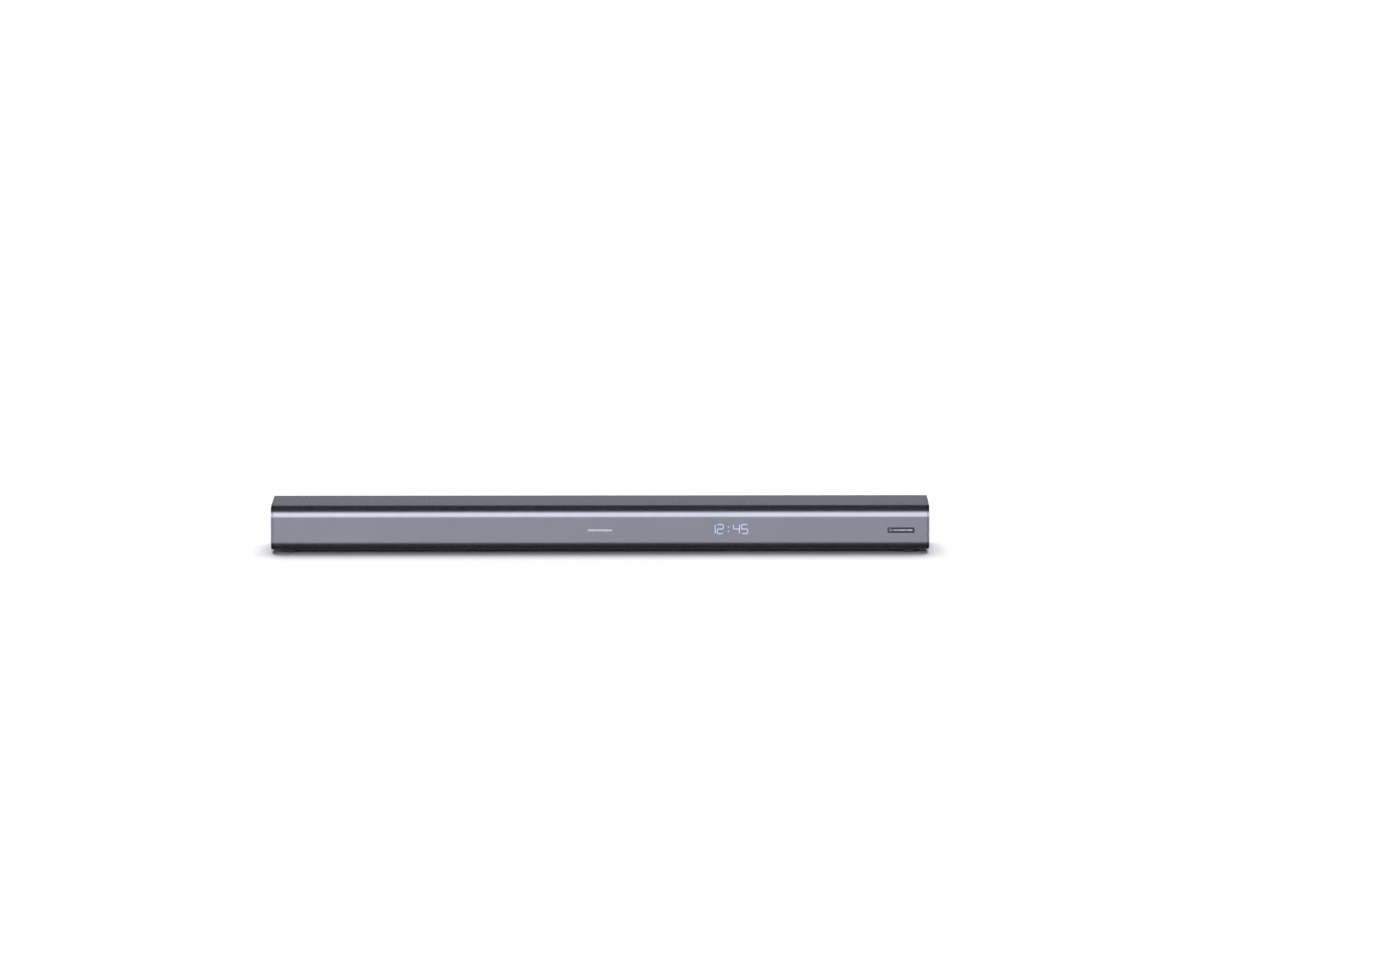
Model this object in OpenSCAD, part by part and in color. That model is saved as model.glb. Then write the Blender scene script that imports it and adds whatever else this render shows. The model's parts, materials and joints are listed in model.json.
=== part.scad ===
// Slim television soundbar: a 3.1-channel cabinet with its drivers, boards, keys and sockets.
// X runs along the cabinet, the front faces -Y, and Z is up. Z = 0 is the underside of the feet.

/* [Cabinet] */
// Overall width, over the two end caps
body_w = 950; // [800:5:1200]
// Overall depth, from the badges to the rear wall
body_d = 105; // [104:1:140]
// Height of the cabinet above its feet
body_h = 64; // [63:1:90]
// Radius of the long top edge at the front
top_r = 16.5; // [12:0.5:19]
// Radius of the long bottom edge at the front
bottom_r = 12.5; // [9:0.5:16]
// Radius of the two long edges at the rear
rear_r = 3; // [3:0.5:6]

/* [Shells] */
// Wall of the moulded rear housing
housing_wall = 2.5; // [2:0.1:2.9]
// Sheet of the top cover
cover_t = 2; // [1.6:0.1:2.6]
// Perforated sheet of the front grille
grille_t = 0.8; // [0.6:0.1:1.2]
// Acoustic cloth behind the grille
cloth_t = 0.5; // [0.3:0.1:0.8]
// Plate that carries the drivers
baffle_t = 3; // [2.5:0.5:5]
// Plate of an end cap
cap_t = 3; // [2.6:0.1:4]
// How far the badges stand proud of the grille
badge_t = 0.3; // [0.2:0.1:0.6]

/* [Feet] */
// Height of a rubber foot
foot_h = 5; // [3:0.5:10]
// Radius of a rubber foot
foot_r = 10; // [8:0.5:12]
// Foot centre to the end of the cabinet
foot_end_inset = 29; // [26:1:60]

/* [Drivers] */
// Radius of a driver's mounting flange
flange_r = 26.5; // [26:0.5:27]
// Radius of the cone where it meets the surround
cone_r = 16.8; // [14:0.2:17]
// Outer radius of the voice coil
coil_r = 10.3; // [8:0.1:11]
// Outer radius of the ferrite ring
magnet_r = 18; // [14:0.5:19]
// Outermost driver centre to the end of the cabinet
driver_end_inset = 65; // [60:1:80]
// Pitch of the two drivers of a pair
driver_pitch = 65; // [58:1:75]
// Pitch of the two centre drivers
centre_pitch = 90; // [64:1:110]
// Travel of a cone each way
cone_travel = 2; // [1:0.5:2.5]

/* [Display] */
// Display centre from the middle of the cabinet
display_x = 185; // [170:1:200]
// Width of the display module
display_w = 64; // [50:1:70]
// Height of the display module
display_h = 19; // [14:1:24]

/* [Sockets] */
// Middle of the socket bay
io_x = -40; // [-80:1:-30]
// Width of the socket bay
io_w = 160; // [155:1:180]
// Depth of both rear bays
bay_depth = 22; // [18:1:26]
// Height of both rear bays
bay_h = 38; // [32:1:44]
// Middle of the mains bay
mains_x = 215; // [200:1:240]
// Width of the mains bay
mains_w = 50; // [40:1:60]
// Radius of the audio jack's bore
jack_r = 1.8; // [1.7:0.05:1.9]

/* [Wall fixing] */
// Distance between the two wall-bracket threads
insert_spacing = 700; // [500:10:740]
// Radius of the thread in each insert
insert_bore_r = 2; // [1.5:0.5:3]
// Length of each insert
insert_len = 12; // [8:1:16]

/* [Keys] */
// Radius of a key cap
key_r = 4.5; // [4:0.1:5.5]
// Pitch of the keys
key_pitch = 16; // [14:0.5:18]
// Travel of a key
key_travel = 0.35; // [0.2:0.05:0.5]

/* [Hidden] */
DRIVERS = ["left_outer", "left_inner", "centre_left", "centre_right", "right_inner", "right_outer"];
KEYS = ["power", "source", "volume_down", "volume_up"];

$fn = 48;
seam = 0.2;          // clearance between shells that meet
slide_gap = 0.2;     // clearance round a part that passes through a wall
cut = 1;             // how far a cutter runs past a face

// Outer faces of the cabinet
front_y = -body_d / 2 + badge_t;
rear_y = body_d / 2;
base_z = foot_h;
top_z = foot_h + body_h;
shell_w = body_w - 2 * cap_t - 2 * seam;

// Seams of the grille with the top cover and with the housing's underside
seam_flat = 5;
seam_y = front_y + top_r + seam_flat;
lap = 4;
flange_len = 5;
flange_y = front_y + bottom_r + flange_len;
cover_lip_z = top_z - 10;

// Baffle
cone_room = 5;       // space between the cloth and the baffle
baffle_y = front_y + grille_t + cloth_t + cone_room;
baffle_gap = 0.4;    // space between the baffle's edges and the grille
shelf_t = 2.2;
shelf_len = 21;
floor_z = base_z + housing_wall;
cap_rim_len = 6;
baffle_w = shell_w - 2 * (cap_rim_len + 2);
top_reach = arc_reach(top_r - grille_t - baffle_gap, front_y + top_r - baffle_y);
low_reach = arc_reach(bottom_r - grille_t - baffle_gap, front_y + bottom_r - baffle_y);
baffle_top = top_z - top_r + top_reach;
baffle_low = base_z + bottom_r - low_reach;
driver_z = (baffle_top + baffle_low) / 2;
shelf_rear_y = baffle_y + baffle_t + shelf_len;

// Driver stations, measured along the axis from the baffle's front face towards the rear
outer_x = body_w / 2 - driver_end_inset;
driver_xs = [-outer_x, -outer_x + driver_pitch, -centre_pitch / 2,
             centre_pitch / 2, outer_x - driver_pitch, outer_x];
flange_t = 1.5;
roll_r = 2;          // radius of the surround's half roll
roll_t = 0.4;
rim_w = 1.4;         // glued rim of the surround
bowl_r = cone_r + 2 * roll_r - 0.2;
bowl_t = 1;
cutout_r = bowl_r + bowl_t + 0.4;
neck_h = 15;         // start of the basket's rear ring
neck_t = 1.5;
plate_t = 3;
magnet_t = 9;
coil_gap = 0.4;      // space each side of the voice coil
former_r = coil_r - 0.3;
pole_r = former_r - 0.3 - coil_gap;
gap_r = coil_r + coil_gap;
spider_h = 10;
magnet_h = neck_h + neck_t + plate_t;
motor_end_h = magnet_h + magnet_t + plate_t;

// Fasteners
screw_r = 1.4;       // shank of a case screw
screw_head_r = 2.8;
screw_head_h = 1.4;
pilot_gap = 0.1;
small_screw_r = 1;   // shank of a driver or board screw
small_head_r = 2;
small_head_h = 1.2;
driver_screw_ring = flange_r - 2.2;
boss_r = 3;
case_screw_y = baffle_y + baffle_t + 15;
case_screw_xs = [-outer_x + driver_pitch / 2, -200, 0, 200, outer_x - driver_pitch / 2];
cap_lug = [16, 10, 8];
cap_screw_x = body_w / 2 - cap_t - 11;
cap_screw_ys = [case_screw_y + 15, rear_y - bay_depth + 2];

// Stiffening ribs across the housing's floor
rib_xs = [-outer_x + driver_pitch + 55, io_x + io_w / 2 + 75, outer_x - driver_pitch - 25];
rib_y = shelf_rear_y + 22;

// Boards
board_t = 1.6;
standoff_h = 6;
board_z = floor_z + standoff_h;
board_top = board_z + board_t;
bay_y = rear_y - bay_depth;
bay_t = 2;
liner_lip = 3;       // flange of a bay liner on the housing's floor
vent_off = 40;       // from a bay's side to the middle of its vents
board_rear_y = bay_y - bay_t - seam;
main_w = 260;
main_d = 38;
power_w = 150;
power_d = 40;
power_x = mains_x + 5;
board_inset = 6;

// Sockets
socket_proud = 0.5;
mouth_y = bay_y + socket_proud;
hdmi = [15, 12, 5.6];
hdmi_xs = [io_x - 62, io_x - 39, io_x - 16];
usb = [13.2, 14, 5.8];
usb_x = io_x + 8;
optical = [9.8, 13.5, 10.2];
optical_x = io_x + 31;
optical_mouth = [8.4, 8.6];
optical_depth = 10;
aux = [11, 12, 9];
aux_x = io_x + 54;
barrel_r = 3.6;
jack_len = 14;
jack_z = board_top + aux[2] / 2;
shell_t = 0.5;
inlet = [24, 22, 16];
inlet_z = board_top + inlet[2] / 2;
pin_r = 1.18;
pin_pitch = 8.6;
inlet_depth = 14;

// Optical shutter
shutter_t = 0.8;
shutter_y = mouth_y - 0.5 - shutter_t / 2;
shutter_z = board_top + (optical[2] + optical_mouth[1]) / 2 - 0.6;
shutter_pin_r = 0.3;
pin_gap = 0.05;

// Wall fixing
insert_r = 4;
insert_fit = 0.03;
insert_z = base_z + body_h / 2;

// Keys, on the right-hand end
key_y = 6;
key_z = base_z + body_h * 0.58;
key_ys = [for (i = [0 : 3]) key_y + (i - 1.5) * key_pitch];
cap_in = body_w / 2 - cap_t;
key_recess = 0.8;
key_below = 0.3;     // key faces below the cap's face
key_flange_t = 1;
key_stem_r = 2;
switch_h = 3.5;
plunger_r = 1.7;
plunger_out = 1.5;
plunger_in = 0.9;
key_board_x = cap_in - 10;
key_board_size = [board_t, 80, 16];
key_post_ys = [key_y - 35, key_y + 35];

// Badges
emblem = [36, 3.2];
plaque = [39, 8.2];
plaque_x = body_w / 2 - 41;
badge_z = base_z + body_h * 0.456;
display_z = driver_z;

// Display
module_d = 8;
module_front_y = baffle_y - 2.6;
display_board_y = module_front_y + module_d;
display_board_size = [104, board_t, 34];
display_board_x = display_x - 8;
display_post_xs = [display_board_x - 47, display_board_x + 47];
ir_x = display_x - 46;
ir_r = 4.8;

// ---------- helpers ----------

function arc_reach(r, off) = sqrt(r * r - pow(max(off, 0), 2));
function reverse(list) = [for (i = [len(list) - 1 : -1 : 0]) list[i]];
function arc(cy, cz, r, from, to, steps = 14) =
    [for (i = [0 : steps]) let (a = from + (to - from) * i / steps) [cy + r * cos(a), cz + r * sin(a)]];

// The front's path seen from the end, from the top seam round to the underside
function front_path(inset) = concat(
    [[seam_y, top_z - inset]],
    arc(front_y + top_r, top_z - top_r, top_r - inset, 90, 180),
    arc(front_y + bottom_r, base_z + bottom_r, bottom_r - inset, 180, 270),
    [[flange_y, base_z + inset]]);

// The whole outline seen from the end, moved inwards by inset
function outline(inset) = concat(
    arc(front_y + top_r, top_z - top_r, top_r - inset, 90, 180),
    arc(front_y + bottom_r, base_z + bottom_r, bottom_r - inset, 180, 270),
    arc(rear_y - max(rear_r, inset + 1), base_z + max(rear_r, inset + 1),
        max(rear_r - inset, 1), 270, 360, 6),
    arc(rear_y - max(rear_r, inset + 1), top_z - max(rear_r, inset + 1),
        max(rear_r - inset, 1), 0, 90, 6));

// Extrude an end view (Y, Z) along X, centred on x
module along_x(w, x = 0) translate([x - w / 2, 0, 0]) rotate([90, 0, 90]) linear_extrude(w) children();

// A box centred on x, from corner [y, z] with the size [w, d, h]
module slab(x, y, z, size) translate([x - size[0] / 2, y, z]) cube(size);

// Turn a shape whose axis is Z so that it points to the rear, to the right or to the left
module to_rear() rotate([-90, 0, 0]) children();
module to_right() rotate([0, 90, 0]) children();

// A flat plate with round ends or corners, in the XZ plane, y thick
module rounded_plate(w, d, h, r) {
    rotate([90, 0, 0]) translate([0, 0, -d]) linear_extrude(d) {
        square([w - 2 * r, h], center = true);
        square([w, h - 2 * r], center = true);
        for (sx = [-1, 1], sz = [-1, 1])
            translate([sx * (w / 2 - r), sz * (h / 2 - r)]) circle(r);
    }
}

// A pan-head screw with a cross recess; the head's underside is at Z = 0 and the shank points up
module screw(shank_r, len, head_r, head_h) {
    difference() {
        union() {
            cylinder(r = shank_r, h = len);
            translate([0, 0, -head_h]) cylinder(r = head_r, h = head_h);
        }
        for (a = [0, 90])
            rotate(a) translate([-head_r * 0.55, -0.25, -head_h - cut])
                cube([head_r * 1.1, 0.5, cut + head_h * 0.6]);
    }
}

module case_screw(len) screw(screw_r, len, screw_head_r, screw_head_h);
module small_screw(len) screw(small_screw_r, len, small_head_r, small_head_h);

// Place children at every driver, with the axis pointing to the rear from the baffle's face
module at_driver(i) translate([driver_xs[i], baffle_y, driver_z]) to_rear() children();
module driver_screw_places()
    for (a = [45 : 90 : 315]) rotate(a) translate([driver_screw_ring, 0, 0]) children();
module driver_screw_holes(h, depth)
    driver_screw_places() translate([0, 0, h]) cylinder(r = small_screw_r + pilot_gap, h = depth);

// Screw places of a board with its middle at x
module board_places(x, w, d) {
    for (sx = [-1, 1], y = [board_rear_y - d + board_inset, board_rear_y - board_inset])
        translate([x + sx * (w / 2 - board_inset), y, 0]) children();
}

module every_board_place() {
    board_places(io_x, main_w, main_d) children();
    board_places(power_x, power_w, power_d) children();
}

// A pilot hole for a small screw, from Z = 0 upwards
module small_pilot(h) cylinder(r = small_screw_r + pilot_gap, h = h);

// ---------- shells ----------

// One of the two recesses in the housing's rear, open to the rear and downwards
module bay_walls(x, w, g = 0)
    slab(x, bay_y - bay_t - g, base_z - (g > 0 ? cut : 0),
         [w + 2 * (bay_t + g), bay_depth + bay_t + (g > 0 ? cut : 0), bay_h + bay_t + g + (g > 0 ? cut : 0)]);
module bay_space(x, w) slab(x, bay_y, base_z - cut, [w, bay_depth + cut, bay_h + cut]);

module vent_slots(x) {
    for (i = [-5 : 5])
        slab(x + i * 5, rear_y - housing_wall - cut, base_z + body_h * 0.45,
             [2.2, housing_wall + 2 * cut, 14]);
}

// A floor tray and a rear moulding, which meet at a seam along the fronts of the bays
module rear_housing() color([0.13, 0.13, 0.14]) {
    wall_top = cover_lip_z - seam;
    tongue_y = rear_y - cover_t - seam - 2;
    inner_r = max(rear_r - housing_wall, 0.3);
    section = concat(
        [[front_y + bottom_r, base_z + grille_t], [flange_y + seam, base_z + grille_t],
         [flange_y + seam, base_z]],
        arc(rear_y - rear_r, base_z + rear_r, rear_r, 270, 360, 6),
        [[rear_y, wall_top], [rear_y - housing_wall, wall_top]],
        arc(rear_y - housing_wall - inner_r, floor_z + inner_r, inner_r, 360, 270, 4),
        [[front_y + bottom_r, floor_z]]);
    difference() {
        union() {
            along_x(shell_w) polygon(section);
            slab(0, tongue_y, wall_top - 4, [shell_w - 2 * (cap_rim_len + 2), 2 + seam + 0.3, 4]);
            slab(0, tongue_y, wall_top - seam, [shell_w - 2 * (cap_rim_len + 2), 2, 4]);
            every_board_place() translate([0, 0, floor_z - 0.5]) cylinder(r = boss_r, h = standoff_h + 0.5);
            for (s = [-1, 1])
                translate([s * insert_spacing / 2, rear_y - insert_len - 2, insert_z])
                    to_rear() cylinder(r = insert_r + 2.5, h = insert_len + 1);
            for (x = rib_xs)
                slab(x, rib_y, floor_z - 0.5, [2, rear_y - housing_wall - rib_y + 0.5, 4]);
        }
        bay_walls(io_x, io_w, seam);
        bay_walls(mains_x, mains_w, seam);
        every_board_place() translate([0, 0, floor_z + 0.5]) small_pilot(standoff_h + cut);
        for (s = [-1, 1])
            translate([s * insert_spacing / 2, rear_y - insert_len - seam, insert_z])
                to_rear() cylinder(r = insert_r + insert_fit, h = insert_len + cut + seam);
        for (x = case_screw_xs)
            translate([x, case_screw_y, base_z]) case_screw_hole();
        for (s = [-1, 1], y = cap_screw_ys)
            translate([s * cap_screw_x, y, base_z]) case_screw_hole();
        for (s = [-1, 1], y = foot_ys())
            translate([s * foot_x(), y, base_z - cut])
                cylinder(r = foot_peg_r() + slide_gap / 2, h = housing_wall + 2 * cut);
        slab(0, bay_y - bay_t - seam - 0.15, 0, [body_w, seam, top_z]);
        vent_slots(io_x - io_w / 2 - vent_off);
        vent_slots(mains_x + mains_w / 2 + vent_off);
    }
}

// The hood and the windowed plates of each rear bay. The hood is welded to the floor by a flange
// on either side, and the plates stand in front of it; the jack has a plate of its own
module bay_liners() color([0.13, 0.13, 0.14]) {
    plate_gap = seam / 2;
    difference() {
        for (bay = [[io_x, io_w], [mains_x, mains_w]])
            slab(bay[0], bay_y - bay_t, base_z, [bay[1] + 2 * bay_t, bay_t, bay_h + bay_t]);
        socket_windows();
        slab(aux_x - 12, bay_y - bay_t - cut, 0, [seam, bay_t + 2 * cut, top_z]);
    }
    for (bay = [[io_x, io_w], [mains_x, mains_w]]) difference() {
        union() {
            intersection() {
                bay_walls(bay[0], bay[1]);
                slab(bay[0], bay_y + plate_gap, 0, [body_w, bay_depth, top_z]);
            }
            for (s = [-1, 1])
                slab(bay[0] + s * (bay[1] / 2 + bay_t + liner_lip / 2 - 0.25), bay_y + 1, floor_z,
                     [liner_lip + 0.5, bay_depth - housing_wall - 3, 1.2]);
        }
        bay_space(bay[0], bay[1]);
    }
}

// A counterbored hole through the housing's floor for a screw driven from below
module case_screw_hole() {
    translate([0, 0, -cut]) cylinder(r = screw_head_r + slide_gap, h = cut + screw_head_h + 0.1);
    translate([0, 0, -cut]) cylinder(r = screw_r + slide_gap, h = housing_wall + 2 * cut);
}

// Windows through the inner walls of the bays
module socket_windows() {
    y = bay_y - bay_t - cut;
    d = bay_t + 2 * cut;
    g = slide_gap;
    for (x = hdmi_xs) slab(x, y, board_top - g, [hdmi[0] + 2 * g, d, hdmi[2] + 2 * g]);
    slab(usb_x, y, board_top - g, [usb[0] + 2 * g, d, usb[2] + 2 * g]);
    slab(optical_x, y, board_top - g, [optical[0] + 2 * g, d, optical[2] + 2 * g]);
    translate([aux_x, y, jack_z]) to_rear() cylinder(r = barrel_r + g, h = d);
    slab(mains_x, y, board_top - g, [inlet[0] + 2 * g, d, inlet[2] + 2 * g]);
}

module top_cover() color([0.35, 0.36, 0.39]) {
    start_y = seam_y + seam;
    inner_r = rear_r - cover_t;
    section = concat(
        [[start_y, top_z]],
        arc(rear_y - rear_r, top_z - rear_r, rear_r, 90, 0, 6),
        [[rear_y, cover_lip_z], [rear_y - cover_t, cover_lip_z]],
        arc(rear_y - rear_r, top_z - rear_r, inner_r, 0, 90, 4),
        [[seam_y - lap, top_z - cover_t], [seam_y - lap, top_z - grille_t],
         [start_y, top_z - grille_t]]);
    rib_w = shell_w - 2 * (cap_rim_len + 4);
    difference() {
        union() {
            along_x(shell_w) polygon(section);
            for (y = [rear_y - 65, rear_y - 35, rear_y - 15])
                slab(0, y, top_z - cover_t - 2.5, [rib_w, 1.5, 3]);
            for (x = case_screw_xs)
                translate([x, cover_screw_y(), baffle_top])
                    cylinder(r = boss_r, h = top_z - cover_t - baffle_top + 0.5);
        }
        for (x = case_screw_xs)
            translate([x, cover_screw_y(), baffle_top - cut])
                cylinder(r = screw_r + pilot_gap, h = cut + cover_screw_bite() + 0.3);
    }
}

function cover_screw_y() = seam_y + 3;
function cover_screw_bite() = top_z - grille_t - baffle_top - 1;

module front_grille() color([0.48, 0.49, 0.54]) {
    along_x(shell_w) polygon(concat(front_path(0), reverse(front_path(grille_t))));
}

module grille_cloth() color([0.05, 0.05, 0.06]) {
    edge = 1;
    slab(0, front_y + grille_t, base_z + bottom_r + edge,
         [baffle_w, cloth_t, body_h - top_r - bottom_r - 2 * edge]);
}

module front_baffle() color([0.09, 0.09, 0.1]) {
    shelf_y = baffle_y + baffle_t - 0.5;
    difference() {
        union() {
            slab(0, baffle_y, baffle_low, [baffle_w, baffle_t, baffle_top - baffle_low]);
            slab(0, shelf_y, floor_z, [baffle_w, shelf_len + 0.5, shelf_t]);
            slab(0, shelf_y, baffle_top - shelf_t,
                 [baffle_w, cover_screw_y() + boss_r + 1 - shelf_y, shelf_t]);
            for (x = case_screw_xs)
                translate([x, case_screw_y, floor_z]) cylinder(r = boss_r, h = 7);
            for (x = display_post_xs)
                translate([x, shelf_y, display_z]) to_rear()
                    cylinder(r = boss_r, h = display_board_y - shelf_y);
        }
        for (i = [0 : 5])
            at_driver(i) {
                translate([0, 0, -cut]) cylinder(r = cutout_r, h = baffle_t + 2 * cut);
                driver_screw_holes(-cut, baffle_t + 2 * cut);
            }
        slab(display_x, baffle_y - cut, display_z - display_h / 2 - slide_gap,
             [display_w + 2 * slide_gap, baffle_t + 2 * cut, display_h + 2 * slide_gap]);
        translate([ir_x, baffle_y - cut, display_z]) to_rear() cylinder(r = ir_r, h = baffle_t + 2 * cut);
        for (x = case_screw_xs) {
            translate([x, case_screw_y, floor_z - cut]) cylinder(r = screw_r + pilot_gap, h = cut + 6);
            translate([x, cover_screw_y(), baffle_top - shelf_t - cut])
                cylinder(r = screw_r + slide_gap, h = shelf_t + 2 * cut);
        }
        for (x = display_post_xs)
            translate([x, baffle_y + baffle_t, display_z]) to_rear() small_pilot(8);
    }
}

// The cap with its face outwards at +X; the left one is its mirror image
module cap_body() {
    rim_in = 5;
    rim_t = 1.5;
    along_x(cap_t, body_w / 2 - cap_t / 2) polygon(outline(0));
    difference() {
        along_x(cap_rim_len + 0.5, cap_in - cap_rim_len / 2 + 0.25) polygon(outline(rim_in));
        along_x(cap_rim_len + 4, cap_in - cap_rim_len / 2 - 2) polygon(outline(rim_in + rim_t));
    }
    for (y = cap_screw_ys)
        translate([cap_in - cap_lug[0], y - cap_lug[1] / 2, floor_z])
            cube([cap_lug[0] + 0.5, cap_lug[1], cap_lug[2]]);
}

module cap_pilots() {
    for (y = cap_screw_ys)
        translate([cap_screw_x, y, floor_z - cut]) cylinder(r = screw_r + pilot_gap, h = cut + 7);
}

module end_cap_left() color([0.3, 0.31, 0.34]) mirror([1, 0, 0]) difference() {
    cap_body();
    cap_pilots();
}

module end_cap_right() color([0.3, 0.31, 0.34]) {
    recess_r = key_r + 2.2;
    half = 1.5 * key_pitch;
    difference() {
        union() {
            cap_body();
            for (y = key_post_ys)
                translate([key_board_x, y, key_z]) to_right()
                    cylinder(r = boss_r, h = cap_in - key_board_x + 0.5);
        }
        cap_pilots();
        for (y = key_ys)
            translate([cap_in - cut, y, key_z]) to_right()
                cylinder(r = key_r + slide_gap, h = cap_t + 2 * cut);
        translate([body_w / 2 - key_recess, key_y - half, key_z - recess_r])
            cube([key_recess + cut, 2 * half, 2 * recess_r]);
        for (s = [-1, 1])
            translate([body_w / 2 - key_recess, key_y + s * half, key_z])
                to_right() cylinder(r = recess_r, h = key_recess + cut);
        for (y = key_post_ys)
            translate([key_board_x - cut, y, key_z]) to_right() small_pilot(7 + cut);
    }
}

// A slim bar in the middle and a small plaque near the right end
module front_badges() {
    color([0.75, 0.76, 0.8]) translate([0, front_y - badge_t, badge_z])
        rounded_plate(emblem[0], badge_t, emblem[1], 1.4);
    color([0.2, 0.21, 0.25]) translate([plaque_x, front_y - badge_t, badge_z])
        rounded_plate(plaque[0], badge_t, plaque[1], 1.6);
}

// ---------- feet ----------

function foot_x() = body_w / 2 - foot_end_inset;
function foot_ys() = [front_y + bottom_r + foot_r, rear_y - 18];
function foot_peg_r() = 3;

module foot(sx, row) color([0.07, 0.07, 0.07]) translate([sx * foot_x(), foot_ys()[row], 0]) {
    chamfer = 0.6;
    rotate_extrude() polygon([
        [0, 0], [foot_r - chamfer, 0], [foot_r, chamfer], [foot_r, foot_h], [0, foot_h]]);
    cylinder(r = foot_peg_r(), h = foot_h + housing_wall - 0.2);
}

// ---------- drivers ----------

// Inner radius of the basket's wall at a station
function bowl_at(h) = bowl_r + (neck_in - bowl_r) * (h - 3) / (neck_h - 3);
neck_in = magnet_r - 3.4;

module driver_basket(i) color([0.16, 0.16, 0.17]) at_driver(i) {
    ledge_r = bowl_at(spider_h);
    difference() {
        union() {
            rotate_extrude() polygon([
                [bowl_r, -flange_t], [flange_r, -flange_t], [flange_r, 0], [bowl_r + bowl_t, 0],
                [bowl_r + bowl_t, 3], [neck_in + bowl_t, neck_h], [neck_in + bowl_t, neck_h + neck_t],
                [gap_r, neck_h + neck_t], [gap_r, neck_h], [neck_in, neck_h], [bowl_r, 3]]);
            rotate_extrude() polygon([
                [ledge_r - 1.4, spider_h], [ledge_r + 0.4, spider_h],
                [ledge_r + 0.2, spider_h + 1], [ledge_r - 1.4, spider_h + 1]]);
            translate([ledge_r, -2, spider_h + 0.5]) cube([4, 4, 2]);
        }
        for (a = [45 : 90 : 315])
            rotate(a) translate([neck_in, -6, 3.6]) cube([bowl_r, 12, spider_h - 4.2]);
        driver_screw_holes(-flange_t - cut, flange_t + 2 * cut);
    }
}

// Surround and spider, which flex as the cone moves
module driver_suspension(i) color([0.05, 0.05, 0.05]) at_driver(i) {
    mid_r = bowl_r - roll_r;
    face = -flange_t;
    rotate_extrude() polygon(concat(
        [[mid_r + roll_r + rim_w, face], [mid_r + roll_r + rim_w, face - roll_t],
         [mid_r + roll_r, face - roll_t]],
        arc(mid_r, face, roll_r, 348, 192, 10),
        [[mid_r - roll_r, face - roll_t], [mid_r - roll_r - rim_w, face - roll_t],
         [mid_r - roll_r - rim_w, face]],
        arc(mid_r, face, roll_r - roll_t, 180, 360, 10)));
    spider_in = former_r + 0.1;
    spider_out = bowl_at(spider_h) - 0.1;
    waves = 3;
    steps = 18;
    wave = [for (k = [0 : steps]) let (t = k / steps)
        [spider_in + (spider_out - spider_in) * t, spider_h - 0.8 + 0.5 * cos(360 * waves * t)]];
    rotate_extrude() polygon(concat(
        [for (p = wave) [p[0], p[1] - 0.3]],
        reverse([for (p = wave) [p[0], p[1] + 0.3]])));
}

// Cone, dust cap and voice coil, which move as one
module driver_cone(i) color([0.2, 0.2, 0.21]) at_driver(i) {
    face = -flange_t;
    rim_in = cone_r - rim_w - 0.6;
    neck = face + 8.1;
    cap_rise = 3;
    cap_edge = coil_r + 0.2;
    cap_h = face + 6;
    dome_r = (cap_edge * cap_edge + cap_rise * cap_rise) / (2 * cap_rise);
    half = asin(cap_edge / dome_r);
    dome_h = cap_h - cap_rise + dome_r;
    rotate_extrude() union() {
        polygon([
            [rim_in, face], [cone_r, face], [cone_r, face + 0.5],
            [coil_r, neck], [former_r - 0.3, neck], [former_r - 0.3, neck - 1.4]]);
        polygon(concat(
            arc(0, dome_h, dome_r, 270, 270 + half, 8),
            reverse(arc(0, dome_h, dome_r - 0.6, 270, 270 + half, 8))));
        translate([former_r - 0.3, neck - 1]) square([0.3, 18.5]);
        translate([former_r - 0.1, neck_h + neck_t - 3])
            square([coil_r - former_r + 0.1, plate_t + 6]);
    }
}

module driver_magnets() color([0.22, 0.22, 0.23]) for (i = [0 : 5]) at_driver(i)
    translate([0, 0, magnet_h]) difference() {
        cylinder(r = magnet_r, h = magnet_t);
        translate([0, 0, -cut]) cylinder(r = gap_r + 1.5, h = magnet_t + 2 * cut);
    }

module driver_pole_plates() color([0.62, 0.63, 0.65]) for (i = [0 : 5]) at_driver(i) {
    front_h = neck_h + neck_t;
    vent_r = 3;
    translate([0, 0, front_h]) difference() {
        cylinder(r = magnet_r - 2, h = plate_t);
        translate([0, 0, -cut]) cylinder(r = gap_r, h = plate_t + 2 * cut);
    }
    difference() {
        union() {
            translate([0, 0, motor_end_h - plate_t]) cylinder(r = magnet_r - 1.5, h = plate_t);
            translate([0, 0, front_h]) cylinder(r = pole_r, h = motor_end_h - front_h);
        }
        translate([0, 0, front_h - cut]) cylinder(r = vent_r, h = motor_end_h);
    }
}

// ---------- keys ----------

module key_button(i) color([0.4, 0.41, 0.44]) {
    face_x = body_w / 2 - key_below;
    stem_x = key_board_x + switch_h + plunger_out;
    translate([stem_x, key_ys[i], key_z]) to_right() {
        cylinder(r = key_stem_r, h = face_x - stem_x);
        translate([0, 0, cap_in - key_flange_t - stem_x]) {
            cylinder(r = key_r + 1.3, h = key_flange_t);
            cylinder(r = key_r, h = face_x - cap_in + key_flange_t);
        }
    }
}

module switch_plunger(i) color([0.1, 0.1, 0.1]) {
    translate([key_board_x + switch_h - plunger_in, key_ys[i], key_z])
        to_right() cylinder(r = plunger_r, h = plunger_in + plunger_out);
}

module key_board() color([0.07, 0.3, 0.16]) difference() {
    translate([key_board_x - board_t, key_y - key_board_size[1] / 2, key_z - key_board_size[2] / 2])
        cube(key_board_size);
    for (y = key_post_ys)
        translate([key_board_x - board_t - cut, y, key_z]) to_right() small_pilot(board_t + 2 * cut);
}

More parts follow.
